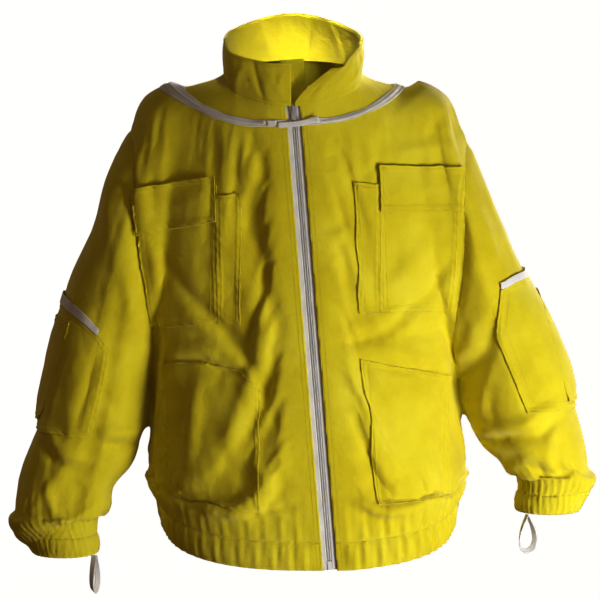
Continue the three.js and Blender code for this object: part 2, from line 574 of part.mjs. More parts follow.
/** The slice of space between two cones round the neck, spread about the hood zip's line. */
function yokeWedge(spread) {
  const steps = 28, half = deg(spread) / 2;
  return ringLoft(Array.from({ length: steps }, (_, k) => {
    const turn = k / steps * 2 * Math.PI, way = round(turn);
    const corner = (reach, rise) => way.clone().multiplyScalar(reach)
      .setZ(YOKE_APEX_Z + reach * Math.tan(rise));
    const low = yokeRise(turn) - half, high = low + 2 * half, [near, far] = YOKE_REACH;
    return [corner(near, low), corner(far, low), corner(far, high), corner(near, high)];
  }));
}

const HOOD_TAPE = [GAP, GAP + 1.7], HOOD_CHAIN = [HOOD_TAPE[1] + GAP, HOOD_TAPE[1] + GAP + 1.5];
const aroundZip = (half) => zipBox([-100, 300], [-half, half], ZIP_DEPTH);
const CHAIN_CLEAR = 36;          // the hood zip's chain stops this far from the middle of the front zip
add('hood_zip_tape',
  layer(whole, HOOD_TAPE).intersect(yokeWedge(HOOD_TAPE_SPREAD)).subtract(aroundZip(TAPE_EDGE + GAP)),
  WHITE_TAPE);
add('hood_zip_chain',
  layer(whole, HOOD_CHAIN).intersect(yokeWedge(HOOD_CHAIN_SPREAD)).subtract(aroundZip(CHAIN_CLEAR)),
  WHITE_NYLON);

const TAIL_OUT = [HOOD_TAPE[1] + 2 * GAP, HOOD_TAPE[1] + 2 * GAP + CLOTH], TAIL_AT = 27;
add('hood_zip_tail',
  zipBox([TAIL_AT - HOOD_TAIL_WIDTH / 2, TAIL_AT + HOOD_TAIL_WIDTH / 2], HOOD_TAIL, TAIL_OUT), WHITE_TAPE);

/** A frame that lies on the front of the torso: left, up and out of the cloth. */
function frontFrame(x, z) {
  const step = 1;
  const slope = (dx, dz) => (torsoY(x + dx, z + dz, false) - torsoY(x - dx, z - dz, false)) / (2 * step);
  const out = new THREE.Vector3(slope(step, 0), -1, slope(0, step)).normalize();
  const left = new THREE.Vector3(1, slope(step, 0), 0).normalize();
  const up = new THREE.Vector3().crossVectors(out, left).negate();
  return { place: new THREE.Vector3(x, torsoY(x, z, false), z), left, up, out };
}

const HOOD_START = { x: -27.8, width: 10, height: 7, thickness: 2.3 };
let yokeZ = -70;
for (let k = 0; k < 6; k++) {
  const y = torsoY(HOOD_START.x, yokeZ, false), turn = Math.atan2(HOOD_START.x, -y);
  yokeZ = YOKE_APEX_Z + Math.hypot(HOOD_START.x, y) * Math.tan(yokeRise(turn));
}
const seat = frontFrame(HOOD_START.x, yokeZ);
const startFace = (out) => [[-1, -1], [1, -1], [1, 1], [-1, 1]].map(([i, j]) => seat.place.clone()
  .addScaledVector(seat.out, out).addScaledVector(seat.left, i * HOOD_START.width / 2)
  .addScaledVector(seat.up, j * HOOD_START.height / 2));
const startBlock = [HOOD_CHAIN[0], HOOD_CHAIN[0] + HOOD_START.thickness].map(startFace);
add('hood_zip_start', loft(startBlock), WHITE_NYLON);

// ---- Pockets and flaps, layer upon layer ----

const POCKET = [GAP, GAP + CLOTH];
const LOOP_PATCH = [POCKET[1] + GAP, POCKET[1] + GAP + TOUCH];
const HOOK_PATCH = [LOOP_PATCH[1] + GAP, LOOP_PATCH[1] + GAP + TOUCH];
const FLAP = [HOOK_PATCH[1] + GAP, HOOK_PATCH[1] + GAP + FLAP_CLOTH];

/** A patch of one layer of the jacket's cloth, cut to a front-view outline, on the front only. */
const patch = (range, outline, back = 0) => layer(whole, range).intersect(frontPrism(outline, -REACH, back));

/** Outline corners given from an anchor, across and up. */
const from = (x, z, corners) => corners.map(([a, b]) => [x + a, z + b]);

// Each chest pocket hangs from the inner top corner of its flap; way is -1 on the right and 1 on the left.
const CHEST_POCKETS = {
  right: { way: -1, x: -108.6, z: -138, flapDrop: 16, lowerDrop: 4, penDrop: 26, lean: 3 },
  left: { way: 1, x: 121, z: -124.5, flapDrop: 0.5, lowerDrop: 0, penDrop: 25, lean: 7 },
};
const POCKET_TOP = -12;          // the pockets' mouths lie this far under the top of their flaps
const POCKET_FOOT = -CHEST_POCKET_HEIGHT - 40;
const STRIP = { start: 16, end: 22, height: 16, foot: 8 };   // touch strip, in from the flap's ends and foot
for (const [side, { way, x, z, flapDrop, lowerDrop, penDrop, lean }] of Object.entries(CHEST_POCKETS)) {
  const { width, height } = CHEST_FLAP;
  const outer = way * width, flapFoot = -flapDrop - lowerDrop - height;
  const flap = [[0, 0], [outer, -flapDrop], [outer, flapFoot], [0, -height]];
  add(`chest_flap_${side}`, patch(FLAP, from(x, z, flap)), COTTON);
  const edge = way * (width - 3), lowEdge = way * (width - 26 + 2 * lean);
  const pocket = [[0, POCKET_TOP], [edge, POCKET_TOP - flapDrop], [lowEdge, POCKET_FOOT - flapDrop / 2],
    [lean * way, POCKET_FOOT]];
  add(`chest_pocket_${side}`, patch(POCKET, from(x, z, pocket)), COTTON);
  const inner = -way * GAP, farther = -way * PEN_POCKET_WIDTH;
  const pen = [[inner, -penDrop], [farther, -penDrop + 3], [farther + way * lean * 1.6, POCKET_FOOT - 2],
    [inner + way * lean, POCKET_FOOT]];
  add(`chest_pen_pocket_${side}`, patch(POCKET, from(x, z, pen)), COTTON);
  const stripTop = -(height - STRIP.foot - STRIP.height), stripFoot = stripTop - STRIP.height;
  const stripEnds = [[way * STRIP.start, -flapDrop * 0.15], [way * (width - STRIP.end), -flapDrop * 0.85]];
  const strip = from(x, z, [...stripEnds.map(([a, b]) => [a, b + stripTop]),
    ...stripEnds.toReversed().map(([a, b]) => [a, b + stripFoot])]);
  add(`chest_loop_patch_${side}`, patch(LOOP_PATCH, strip), HOOK_LOOP);
  add(`chest_hook_patch_${side}`, patch(HOOK_PATCH, strip), HOOK_LOOP);
}

// Lower pockets stand on the waist seam: corners from the inner bottom corner.
const lowerFoot = bodyZ(-590);
const lowerPocket = (way, x, corners) => from(x, lowerFoot, corners.map(([a, b]) => [way * a, b]));
const LOWER_RIGHT = [[0, -4], [8, LOWER_POCKET.height - 8], [38, LOWER_POCKET.height + 12],
  [90, LOWER_POCKET.height + 21], [LOWER_POCKET.width + 21, LOWER_POCKET.height + 20],
  [LOWER_POCKET.width + 16, 20], [LOWER_POCKET.width - 19, 8]];
const LOWER_LEFT = [[0, 3], [2, 88], [-14, 140], [-15, LOWER_POCKET.height + 26],
  [LOWER_POCKET.width - 18, LOWER_POCKET.height + 1], [LOWER_POCKET.width - 18, 2]];
add('lower_pocket_right', patch(POCKET, lowerPocket(-1, -45, LOWER_RIGHT)), COTTON);
add('lower_pocket_left', patch(POCKET, lowerPocket(1, 116, LOWER_LEFT)), COTTON);

// Sleeve pockets wrap the front and the outside of the arm. Each has a bound opening on top and a pen pocket
// over its outer edge.
const SLEEVE_POCKETS = {
  right: {
    trim: [[-372, -276], [-337, -300.5], [-277, -343.5], [-279, -351], [-338, -315], [-376, -294]],
    pocket: [[-420, -276], [-376.5, -294.5], [-338, -315.5], [-279, -351.6], [-263, -372], [-281, -436],
      [-291, -494], [-420, -494]],
    pen: [[-420, -330], [-316, -341], [-337, -382], [-349, -432], [-361, -480], [-420, -480]],
  },
  left: {
    trim: [[297, -284], [332, -273], [372, -260], [374, -270], [333, -281.3], [298, -292]],
    pocket: [[298, -292.6], [333, -281.9], [374.2, -270.6], [470, -250], [470, -462], [331, -460],
      [290.5, -356]],
    pen: [[350, -292], [460, -285], [460, -452], [392, -452]],
  },
};
const PEN_LAYER = [POCKET[1] + GAP, POCKET[1] + GAP + CLOTH];
const WRAP_BACK = 40;            // the sleeve pockets reach round the arm to this depth
for (const [side, { trim, pocket, pen }] of Object.entries(SLEEVE_POCKETS)) {
  const shift = (outline) => outline.map(([x, z]) => [x + ARMS[side].way * widen, z]);
  add(`sleeve_pocket_${side}`, patch(POCKET, shift(pocket), WRAP_BACK), COTTON);
  add(`sleeve_pen_pocket_${side}`, patch(PEN_LAYER, shift(pen), WRAP_BACK), COTTON);
  add(`sleeve_pocket_trim_${side}`, patch(POCKET, shift(trim), WRAP_BACK), WHITE_TAPE);
}

export default group;
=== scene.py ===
"""A beekeeper's yellow cotton jacket, worked out in millimetres and written to meshes in metres.

+X is the wearer's left, +Y the back, +Z up, and the origin is the middle of the neck opening. One closed skin of
the whole jacket is shaped, settled as cloth, folded and gathered, then cut along its seams into the sewn pieces.
"""
import json
import bpy
import numpy as np
from mathutils import Vector
from mathutils.bvhtree import BVHTree
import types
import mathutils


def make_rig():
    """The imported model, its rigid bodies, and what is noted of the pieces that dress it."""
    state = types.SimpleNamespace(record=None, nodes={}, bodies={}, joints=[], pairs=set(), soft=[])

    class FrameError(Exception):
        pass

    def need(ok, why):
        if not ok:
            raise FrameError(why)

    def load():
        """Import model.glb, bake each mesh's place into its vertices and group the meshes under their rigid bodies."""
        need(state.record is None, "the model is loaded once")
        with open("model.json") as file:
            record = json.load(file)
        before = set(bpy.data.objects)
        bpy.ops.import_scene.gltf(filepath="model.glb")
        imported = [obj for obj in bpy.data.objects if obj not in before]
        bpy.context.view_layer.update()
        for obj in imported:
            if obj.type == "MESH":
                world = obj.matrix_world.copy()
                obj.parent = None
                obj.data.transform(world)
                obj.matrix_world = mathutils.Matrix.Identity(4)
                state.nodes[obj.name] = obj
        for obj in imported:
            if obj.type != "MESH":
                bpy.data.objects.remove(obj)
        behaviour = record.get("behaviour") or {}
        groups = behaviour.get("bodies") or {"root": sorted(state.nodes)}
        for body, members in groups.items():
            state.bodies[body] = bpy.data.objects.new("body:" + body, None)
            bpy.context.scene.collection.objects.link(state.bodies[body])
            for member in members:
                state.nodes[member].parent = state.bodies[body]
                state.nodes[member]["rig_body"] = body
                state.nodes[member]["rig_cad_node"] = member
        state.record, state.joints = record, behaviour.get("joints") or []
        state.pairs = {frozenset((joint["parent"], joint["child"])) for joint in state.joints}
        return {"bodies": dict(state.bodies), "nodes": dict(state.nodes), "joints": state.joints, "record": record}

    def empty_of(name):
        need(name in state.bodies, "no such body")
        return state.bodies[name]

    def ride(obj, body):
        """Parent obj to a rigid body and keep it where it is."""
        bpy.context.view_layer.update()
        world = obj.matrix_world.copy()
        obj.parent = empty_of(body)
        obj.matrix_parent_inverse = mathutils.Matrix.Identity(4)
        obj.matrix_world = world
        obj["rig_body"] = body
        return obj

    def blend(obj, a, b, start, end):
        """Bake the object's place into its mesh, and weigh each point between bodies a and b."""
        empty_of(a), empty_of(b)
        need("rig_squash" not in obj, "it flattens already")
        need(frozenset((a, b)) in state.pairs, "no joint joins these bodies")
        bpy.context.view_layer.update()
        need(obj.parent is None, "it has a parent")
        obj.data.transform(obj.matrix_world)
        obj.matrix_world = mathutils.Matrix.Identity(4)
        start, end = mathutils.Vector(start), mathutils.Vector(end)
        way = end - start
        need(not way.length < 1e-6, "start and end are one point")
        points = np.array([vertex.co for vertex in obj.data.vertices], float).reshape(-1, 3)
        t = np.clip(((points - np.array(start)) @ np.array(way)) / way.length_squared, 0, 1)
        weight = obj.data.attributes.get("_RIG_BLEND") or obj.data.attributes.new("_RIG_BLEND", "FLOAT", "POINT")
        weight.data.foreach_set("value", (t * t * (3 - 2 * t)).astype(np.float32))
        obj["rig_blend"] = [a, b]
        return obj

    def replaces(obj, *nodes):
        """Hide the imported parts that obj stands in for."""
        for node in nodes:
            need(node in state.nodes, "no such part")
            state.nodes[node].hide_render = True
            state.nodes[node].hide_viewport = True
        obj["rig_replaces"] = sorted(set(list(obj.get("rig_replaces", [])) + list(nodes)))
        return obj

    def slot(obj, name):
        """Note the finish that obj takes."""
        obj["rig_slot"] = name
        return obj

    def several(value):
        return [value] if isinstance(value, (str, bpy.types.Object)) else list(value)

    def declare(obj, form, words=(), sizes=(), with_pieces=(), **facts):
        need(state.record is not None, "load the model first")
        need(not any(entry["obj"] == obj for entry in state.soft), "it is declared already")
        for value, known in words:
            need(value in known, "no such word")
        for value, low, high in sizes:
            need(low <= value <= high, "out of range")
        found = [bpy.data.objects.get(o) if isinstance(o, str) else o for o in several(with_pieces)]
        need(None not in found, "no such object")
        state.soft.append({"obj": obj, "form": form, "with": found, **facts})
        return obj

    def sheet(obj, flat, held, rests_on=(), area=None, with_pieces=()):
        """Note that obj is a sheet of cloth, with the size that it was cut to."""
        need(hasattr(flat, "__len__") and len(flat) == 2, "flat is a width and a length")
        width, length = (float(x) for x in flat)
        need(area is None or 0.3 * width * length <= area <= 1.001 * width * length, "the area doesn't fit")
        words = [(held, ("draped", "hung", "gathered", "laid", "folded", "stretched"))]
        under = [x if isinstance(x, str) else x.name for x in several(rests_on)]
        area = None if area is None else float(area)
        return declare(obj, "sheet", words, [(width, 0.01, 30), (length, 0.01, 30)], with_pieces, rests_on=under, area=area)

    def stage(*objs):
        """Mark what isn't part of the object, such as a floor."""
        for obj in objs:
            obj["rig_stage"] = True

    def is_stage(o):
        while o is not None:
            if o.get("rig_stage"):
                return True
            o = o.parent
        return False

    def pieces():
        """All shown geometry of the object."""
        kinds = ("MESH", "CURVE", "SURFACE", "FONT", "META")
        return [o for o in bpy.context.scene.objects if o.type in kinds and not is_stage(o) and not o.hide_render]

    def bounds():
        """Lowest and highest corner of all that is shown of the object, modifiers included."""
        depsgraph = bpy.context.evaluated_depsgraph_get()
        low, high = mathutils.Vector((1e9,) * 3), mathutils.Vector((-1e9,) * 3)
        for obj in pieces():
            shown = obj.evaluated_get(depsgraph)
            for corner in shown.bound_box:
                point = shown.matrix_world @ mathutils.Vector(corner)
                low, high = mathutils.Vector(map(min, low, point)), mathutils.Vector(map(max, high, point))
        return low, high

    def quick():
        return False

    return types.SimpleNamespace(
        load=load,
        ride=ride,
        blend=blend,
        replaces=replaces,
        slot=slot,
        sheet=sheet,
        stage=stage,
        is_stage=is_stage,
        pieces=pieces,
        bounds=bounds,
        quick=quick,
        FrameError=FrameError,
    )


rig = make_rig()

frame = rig.load()
cad_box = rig.bounds()
MM = 0.001

# ---- Camera, stage and light ----

DISTANCE, TILT, VIEW_WIDTH, SENSOR = 3.4, np.radians(6), 0.84, 36
LOOK_AT = Vector((0.0098, 0, -0.321))


def make_camera():
    camera = bpy.data.objects.new("camera", bpy.data.cameras.new("camera"))
    camera.data.sensor_width = SENSOR
    camera.data.lens = SENSOR * DISTANCE / VIEW_WIDTH
    camera.location = LOOK_AT + DISTANCE * Vector((0, -np.cos(TILT), np.sin(TILT)))
    camera.rotation_euler = (np.pi / 2 - TILT, 0, 0)
    bpy.context.scene.collection.objects.link(camera)
    bpy.context.scene.camera = camera


def area_light(name, place, aim, size, power, colour, spread=180):
    """A square soft light that faces a point, with its beam as wide as the spread in degrees."""
    light = bpy.data.objects.new(name, bpy.data.lights.new(name, "AREA"))
    light.data.size, light.data.energy, light.data.color = size, power, colour
    light.data.spread = np.radians(spread)
    light.location = place
    light.rotation_euler = (Vector(aim) - Vector(place)).to_track_quat("-Z", "Y").to_euler()
    bpy.context.scene.collection.objects.link(light)


make_camera()
area_light("key", (1.5, -1.4, -0.85), (0.33, 0, -0.56), 0.7, 8.0, (1, 0.98, 0.94), 75)
area_light("top", (0.5, -1.5, 1.5), (0.1, 0, -0.2), 0.9, 1.7, (1, 0.94, 0.84), 120)
area_light("collar_light", (0.2, -0.4, 0.9), (0.01, 0.08, 0.02), 0.15, 0.32, (1, 0.96, 0.88), 16)
area_light("warm_fill", (-1.5, -1.6, -0.5), (-0.2, 0, -0.4), 1.2, 2.0, (1, 0.60, 0.30))
area_light("back_light", (1.3, 1.5, 0.35), (-0.05, 0, -0.35), 0.8, 10.5, (1, 0.97, 0.92), 100)
area_light("back_fill", (-1.5, 1.4, 0.2), (0, 0, -0.35), 1.2, 3.4, (1, 0.85, 0.68), 150)

world = bpy.data.worlds.new("studio")
world.use_nodes = True
world.node_tree.nodes["Background"].inputs["Color"].default_value = (1, 0.66, 0.4, 1)
world.node_tree.nodes["Background"].inputs["Strength"].default_value = 0.085
bpy.context.scene.world = world
bpy.context.scene.view_settings.view_transform = "Standard"
bpy.context.scene.view_settings.gamma = 0.76

# ---- Materials ----


class Shader:
    """A material's node tree with short ways to add and join nodes."""

    def __init__(self, name, colour, roughness, **sockets):
        self.material = bpy.data.materials.new(name)
        self.material.use_nodes = True
        self.tree = self.material.node_tree
        self.surface = self.tree.nodes["Principled BSDF"]
        self.surface.inputs["Base Color"].default_value = (*colour, 1)
        self.surface.inputs["Roughness"].default_value = roughness
        for socket, value in sockets.items():
            self.surface.inputs[socket.replace("_", " ")].default_value = value

    def node(self, kind, inputs=None, **settings):
        node = self.tree.nodes.new("ShaderNode" + kind)
        for key, value in settings.items():
            setattr(node, key, value)
        for socket, value in (inputs or {}).items():
            if isinstance(value, bpy.types.NodeSocket):
                self.tree.links.new(value, node.inputs[socket])
            else:
                node.inputs[socket].default_value = value
        return node

    def coordinates(self, source="UV", scale=(1, 1, 1)):
        place = self.node("TexCoord").outputs[source]
        return self.node("Mapping", {"Vector": place, "Scale": scale}).outputs[0]

    def noise(self, place, scale, detail=3, roughness=0.55):
        return self.node("TexNoise", {"Vector": place, "Scale": scale, "Detail": detail,
                                      "Roughness": roughness}).outputs["Fac"]

    def maths(self, operation, a, b=0.5):
        return self.node("Math", {0: a, 1: b}, operation=operation).outputs[0]

    def ramp(self, factor, stops):
        """Colours against a factor, as (position, colour) stops."""
        node = self.node("ValToRGB", {"Fac": factor})
        ramp = node.color_ramp
        ramp.elements[0].position, ramp.elements[1].position = stops[0][0], stops[-1][0]
        for place, _ in stops[1:-1]:
            ramp.elements.new(place)
        for element, (_, colour) in zip(ramp.elements, stops):
            element.color = (*colour, 1)
        return node.outputs["Color"]

    def colour(self, socket):
        self.tree.links.new(socket, self.surface.inputs["Base Color"])

    def rough(self, factor, low, high):
        spread = self.maths("MULTIPLY_ADD", factor, high - low)
        spread.node.inputs[2].default_value = low
        self.tree.links.new(spread, self.surface.inputs["Roughness"])

    def bump(self, height, distance, strength=1.0):
        """Bumps the surface, on top of any bump that is already there."""
        joined = self.surface.inputs["Normal"]
        inputs = {"Height": height, "Distance": distance, "Strength": strength}
        if joined.is_linked:
            inputs["Normal"] = joined.links[0].from_socket
        self.tree.links.new(self.node("Bump", inputs).outputs[0], joined)

    def weave(self, pitch, depth):
        """Threads over and under one another: the larger of two crossed waves, pitch metres apart."""
        place = self.coordinates()
        scale = np.pi / (10 * pitch)
        waves = [self.node("TexWave", {"Vector": place, "Scale": scale, "Distortion": 1.2, "Detail": 1.0,
                                       "Detail Scale": 0.4}, bands_direction=way).outputs["Fac"] for way in "XY"]
        self.bump(self.maths("MAXIMUM", *waves), depth, 0.6)


def cotton(name, light, middle, dark):
    """Plain-woven drill: blotched dye, slubs along the weft, a fine weave, small creases and a soft nap."""
    shader = Shader(name, middle, 0.86, Sheen_Weight=0.3, Sheen_Roughness=0.5, Specular_IOR_Level=0.35)
    place = shader.coordinates()
    blotch = shader.noise(place, 9, 5, 0.62)
    shader.colour(shader.ramp(blotch, [(0.3, dark), (0.5, middle), (0.72, light)]))
    creases = shader.noise(shader.coordinates(scale=(1.0, 0.55, 1)), 38, 4, 0.6)
    shader.bump(creases, 0.003, 0.5)
    fine = shader.noise(shader.coordinates(scale=(1, 0.8, 1)), 105, 3, 0.65)
    shader.bump(fine, 0.0013, 0.5)
    crumple = shader.maths("SUBTRACT", shader.noise(shader.coordinates(scale=(1, 0.7, 1)), 16, 2, 0.5), 0.5)
    shader.bump(shader.maths("POWER", shader.maths("ABSOLUTE", crumple), 0.6), 0.004, 0.35)
    slubs = shader.noise(shader.coordinates(scale=(0.06, 1, 1)), 900, 2)
    shader.bump(slubs, 0.00025, 0.35)
    shader.weave(0.0011, 0.00022)
    shader.rough(shader.noise(place, 60), 0.78, 0.95)
    return shader.material


def tape_material(name, colour, pitch, ribs_along="X"):
    """Woven tape: fine ribs with a little grime."""
    shader = Shader(name, colour, 0.8, Sheen_Weight=0.2)
    grime = shader.noise(shader.coordinates(), 30, 4)
    shade = tuple(0.82 * value for value in colour)
    shader.colour(shader.ramp(grime, [(0.35, shade), (0.65, colour)]))
    ribs = shader.node("TexWave", {"Vector": shader.coordinates(), "Scale": np.pi / (10 * pitch),
                                   "Distortion": 0.6}, bands_direction=ribs_along)
    shader.bump(ribs.outputs["Fac"], 0.00012, 0.5)
    return shader.material


def nylon_material():
    shader = Shader("white_nylon", (0.83, 0.84, 0.85), 0.38, Coat_Weight=0.15)
    shader.rough(shader.noise(shader.coordinates("Object"), 400), 0.3, 0.5)
    return shader.material


def metal_material():
    """Cast zinc with a worn plating: fine scratches and a grainy dull tone."""
    shader = Shader("plated_zinc", (0.78, 0.79, 0.8), 0.36, Metallic=0.55)
    place = shader.coordinates("Object")
    grain = shader.noise(place, 700, 4)
    shader.colour(shader.ramp(grain, [(0.3, (0.62, 0.62, 0.63)), (0.6, (0.82, 0.83, 0.84))]))
    shader.rough(grain, 0.22, 0.5)
    shader.bump(shader.noise(shader.coordinates("Object", (1, 1, 0.1)), 2500), 0.00005, 0.5)
    return shader.material


def touch_material(name, colour):
    """Hook-and-loop tape: a dense field of tiny tufts."""
    shader = Shader(name, colour, 0.95, Sheen_Weight=0.5)
    cells = shader.node("TexVoronoi", {"Vector": shader.coordinates(), "Scale": 700.0}).outputs["Distance"]
    shader.colour(shader.ramp(cells, [(0.0, colour), (0.8, tuple(0.6 * v for v in colour))]))
    shader.bump(cells, 0.0006, 0.9)
    return shader.material


YELLOW = (0.74, 0.655, 0.02)
COTTON = cotton("yellow_cotton", (0.80, 0.73, 0.05), YELLOW, (0.66, 0.56, 0.008))
LINING = cotton("yellow_cotton_inside", (0.72, 0.65, 0.02), (0.65, 0.58, 0.014), (0.56, 0.49, 0.01))
BINDING = tape_material("white_tape", (0.88, 0.88, 0.89), 0.0012)
ZIP_TAPE = tape_material("zip_tape", (0.86, 0.87, 0.89), 0.0009, "Y")
ELASTIC = tape_material("elastic_web", (0.82, 0.82, 0.82), 0.0011)
THREAD = Shader("yellow_thread", (0.62, 0.54, 0.02), 0.7, Sheen_Weight=0.3).material
NYLON = nylon_material()
METAL = metal_material()
TOUCH = touch_material("touch_tape", (0.66, 0.6, 0.05))

# ---- Meshes ----


def mesh_object(name, places, faces, material, corners_uv=None):
    """A smooth mesh from places in millimetres and equal-sided faces, linked at the origin."""
    mesh = bpy.data.meshes.new(name)
    mesh.vertices.add(len(places))
    mesh.vertices.foreach_set("co", (np.asarray(places, float) * MM).ravel())
    mesh.loops.add(faces.size)
    mesh.loops.foreach_set("vertex_index", faces.ravel().astype(np.int32))
    mesh.polygons.add(len(faces))
    mesh.polygons.foreach_set("loop_start", (np.arange(len(faces)) * faces.shape[1]).astype(np.int32))
    mesh.polygons.foreach_set("use_smooth", np.ones(len(faces), bool))
    mesh.update(calc_edges=True)
    if corners_uv is not None:
        mesh.uv_layers.new(name="cloth").data.foreach_set("uv", (corners_uv * MM).ravel())
    mesh.materials.append(material)
    piece = bpy.data.objects.new(name, mesh)
    bpy.context.scene.collection.objects.link(piece)
    return piece


def grid_faces(rows, columns, closed=False):
    """Quads of a grid of points, joined round each row when closed."""
    i, j = np.meshgrid(np.arange(rows - 1), np.arange(columns - (not closed)), indexing="ij")
    here, right = i * columns + j, i * columns + (j + 1) % columns
    return np.stack([here, right, right + columns, here + columns], -1).reshape(-1, 4)


def normals_of(places, faces):
    """Each point's normal: the sum of its faces' cross products, made one long."""
    a, b, c = (places[faces[:, k]] for k in range(3))
    cross = np.cross(b - a, c - a)
    total = np.stack([sum(np.bincount(faces[:, k], cross[:, axis], len(places)) for k in range(faces.shape[1]))
                      for axis in range(3)], 1)
    return total / np.maximum(np.linalg.norm(total, axis=1, keepdims=True), 1e-9)


def facing(places, faces, away):
    """The faces, turned round if they look against the direction away on the whole."""
    return faces if (normals_of(places, faces) * away).sum() > 0 else faces[:, ::-1]


def corner_uv(u, v, faces, period=None):
    """Millimetres across and along the cloth at each face corner. Faces over the join get one side shifted."""
    across = u[faces]
    if period:
        across = across + period * (across.max(1, keepdims=True) - across > period / 2)
    return np.stack([across, v[faces]], -1).reshape(-1, 2)


def thicken(piece, thickness, offset=-1.0):
    wall = piece.modifiers.new("wall", "SOLIDIFY")
    wall.thickness, wall.offset = thickness * MM, offset
    wall.use_even_offset = False
    return piece


def sheet_grid(name, points, material, away, thickness, offset=-1.0):
    """A cloth strip from a grid of points (rows, columns, 3), with its weave laid along the two ways."""
    rows, columns = points.shape[:2]
    places = points.reshape(-1, 3)
    faces = facing(places, grid_faces(rows, columns), np.asarray(away, float))
    along = np.zeros((rows, columns))
    across = np.zeros((rows, columns))
    along[1:] = np.cumsum(np.linalg.norm(np.diff(points, axis=0), axis=2), axis=0)
    across[:, 1:] = np.cumsum(np.linalg.norm(np.diff(points, axis=1), axis=2), axis=1)
    uv = corner_uv(across.ravel(), along.ravel(), faces)
    return thicken(mesh_object(name, places, faces, material, uv), thickness, offset)


def dress(piece, slot, nodes=(), body=None, bend=None):
    """Gives a piece its finish's slot, the CAD nodes it stands for, and the body or the elbow it follows."""
    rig.slot(piece, slot)
    if nodes:
        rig.replaces(piece, *nodes)
    if bend:
        bend(piece)
    else:
        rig.ride(piece, body)
    return piece


# ---- Lines and lumps ----


def ease(value, low, high):
    """From 0 at low to 1 at high, level at both ends."""
    t = np.clip((np.asarray(value, float) - low) / (high - low), 0, 1)
    return t * t * (3 - 2 * t)


def through(at, knots, values):
    """A smooth line through rows of values at rising knots: a cubic on each span, whose slope at a knot is the
    harmonic mean of the slopes beside it, or level where the line turns back."""
    knots, values = np.asarray(knots, float), np.asarray(values, float)
    gap = np.diff(knots)[:, None]
    rise = np.diff(values, axis=0) / gap
    total = rise[:-1] + rise[1:]
    inner = np.where(rise[:-1] * rise[1:] > 0, 2 * rise[:-1] * rise[1:] / np.where(total == 0, 1, total), 0)
    slope = np.vstack([rise[:1], inner, rise[-1:]])
    k = np.clip(np.searchsorted(knots, at, side="right") - 1, 0, len(knots) - 2)
    t = np.clip((at - knots[k])[:, None] / gap[k], 0, 1)
    a, b = values[k], values[k + 1]
    return (a * (1 + 2 * t) * (1 - t) ** 2 + b * t * t * (3 - 2 * t)
            + gap[k] * (slope[k] * t * (1 - t) ** 2 - slope[k + 1] * t * t * (1 - t)))


def lumps(places, size, seed):
    """Smooth random lumps from -1 to 1: random numbers on a lattice of cells, eased between their corners."""
    lattice = np.random.default_rng(seed).uniform(-1, 1, (40, 40, 40))
    grid = places / np.asarray(size, float) + 517.3
    cell = np.floor(grid).astype(int)
    t = ease(grid - cell, 0, 1)
    total = 0
    for i in (0, 1):
        for j in (0, 1):
            for k in (0, 1):
                share = (np.abs(1 - i - t[:, 0]) * np.abs(1 - j - t[:, 1]) * np.abs(1 - k - t[:, 2]))
                total = total + share * lattice[tuple(((cell + (i, j, k)) % 40).T)]
    return total


def gathers(run, pitch, seed):
    """Uneven puckers along a run: a wave whose phase and height wander."""
    wander = np.sin(run / (pitch * 3.7) + seed) + 0.7 * np.sin(run / (pitch * 8.3) + 2 * seed)
    height = 0.65 + 0.35 * np.sin(run / (pitch * 5.1) + 3 * seed)
    return height * np.sin(2 * np.pi * run / pitch + 1.6 * wander)


# ---- The jacket's lines, as in the CAD model ----

ZIP_TOP = np.array([0, -100.5, -45])
LENGTH, ZIP_HEM_X, FRONT_LEAN = 677, 51, 0.0554
drop = LENGTH + ZIP_TOP[2]
DOWN = np.array([ZIP_HEM_X, -FRONT_LEAN * drop, -drop]) / np.linalg.norm([ZIP_HEM_X, FRONT_LEAN * drop, drop])
OUT = np.array([0, -1, 0]) + DOWN * DOWN[1]
OUT = OUT / np.linalg.norm(OUT)
LEFT = np.cross(OUT, DOWN)
ZIP_RUN = drop / -DOWN[2]
TAPE_EDGE, TAPE_WIDTH, PANEL = 9.5, 15, 2.4


def zip_point(s, lateral, out):
    """Places in the zip's frame: down it, across it to the wearer's left, and out from it."""
    s, lateral, out = np.broadcast_arrays(s, lateral, out)
    return ZIP_TOP + s[..., None] * DOWN + lateral[..., None] * LEFT + out[..., None] * OUT


def zip_lateral(places):
    return (places - ZIP_TOP) @ LEFT


# Height, half width, middle of the width, depth of the side, depth of the back, squareness
TORSO = np.array([
    [60, 88, 0, 10, 62, 1.9], [20, 90, 0, 10, 68, 1.9], [0, 90, 0, 10, 75, 1.9], [-12, 106, 0, 10, 80, 1.75],
    [-20, 136, 0, 10, 84, 1.6], [-28, 165, 0, 10, 88, 1.5], [-40, 196, 0, 12, 94, 1.45],
    [-60, 210, 0, 13, 105, 1.6], [-110, 215, 2, 16, 130, 2.0], [-200, 214, 6, 22, 150, 2.35],
    [-300, 212, 10, 23, 158, 2.4], [-390, 213, 14, 25, 158, 2.4], [-480, 218, 19, 24, 158, 2.4],
    [-560, 230, 19, 22, 160, 2.4], [-590, 222, 21, 21, 155, 2.4], [-615, 208, 21, 21, 147, 2.4],
    [-640, 205, 22, 20, 140, 2.4], [-705, 203, 22, 20, 140, 2.4]])

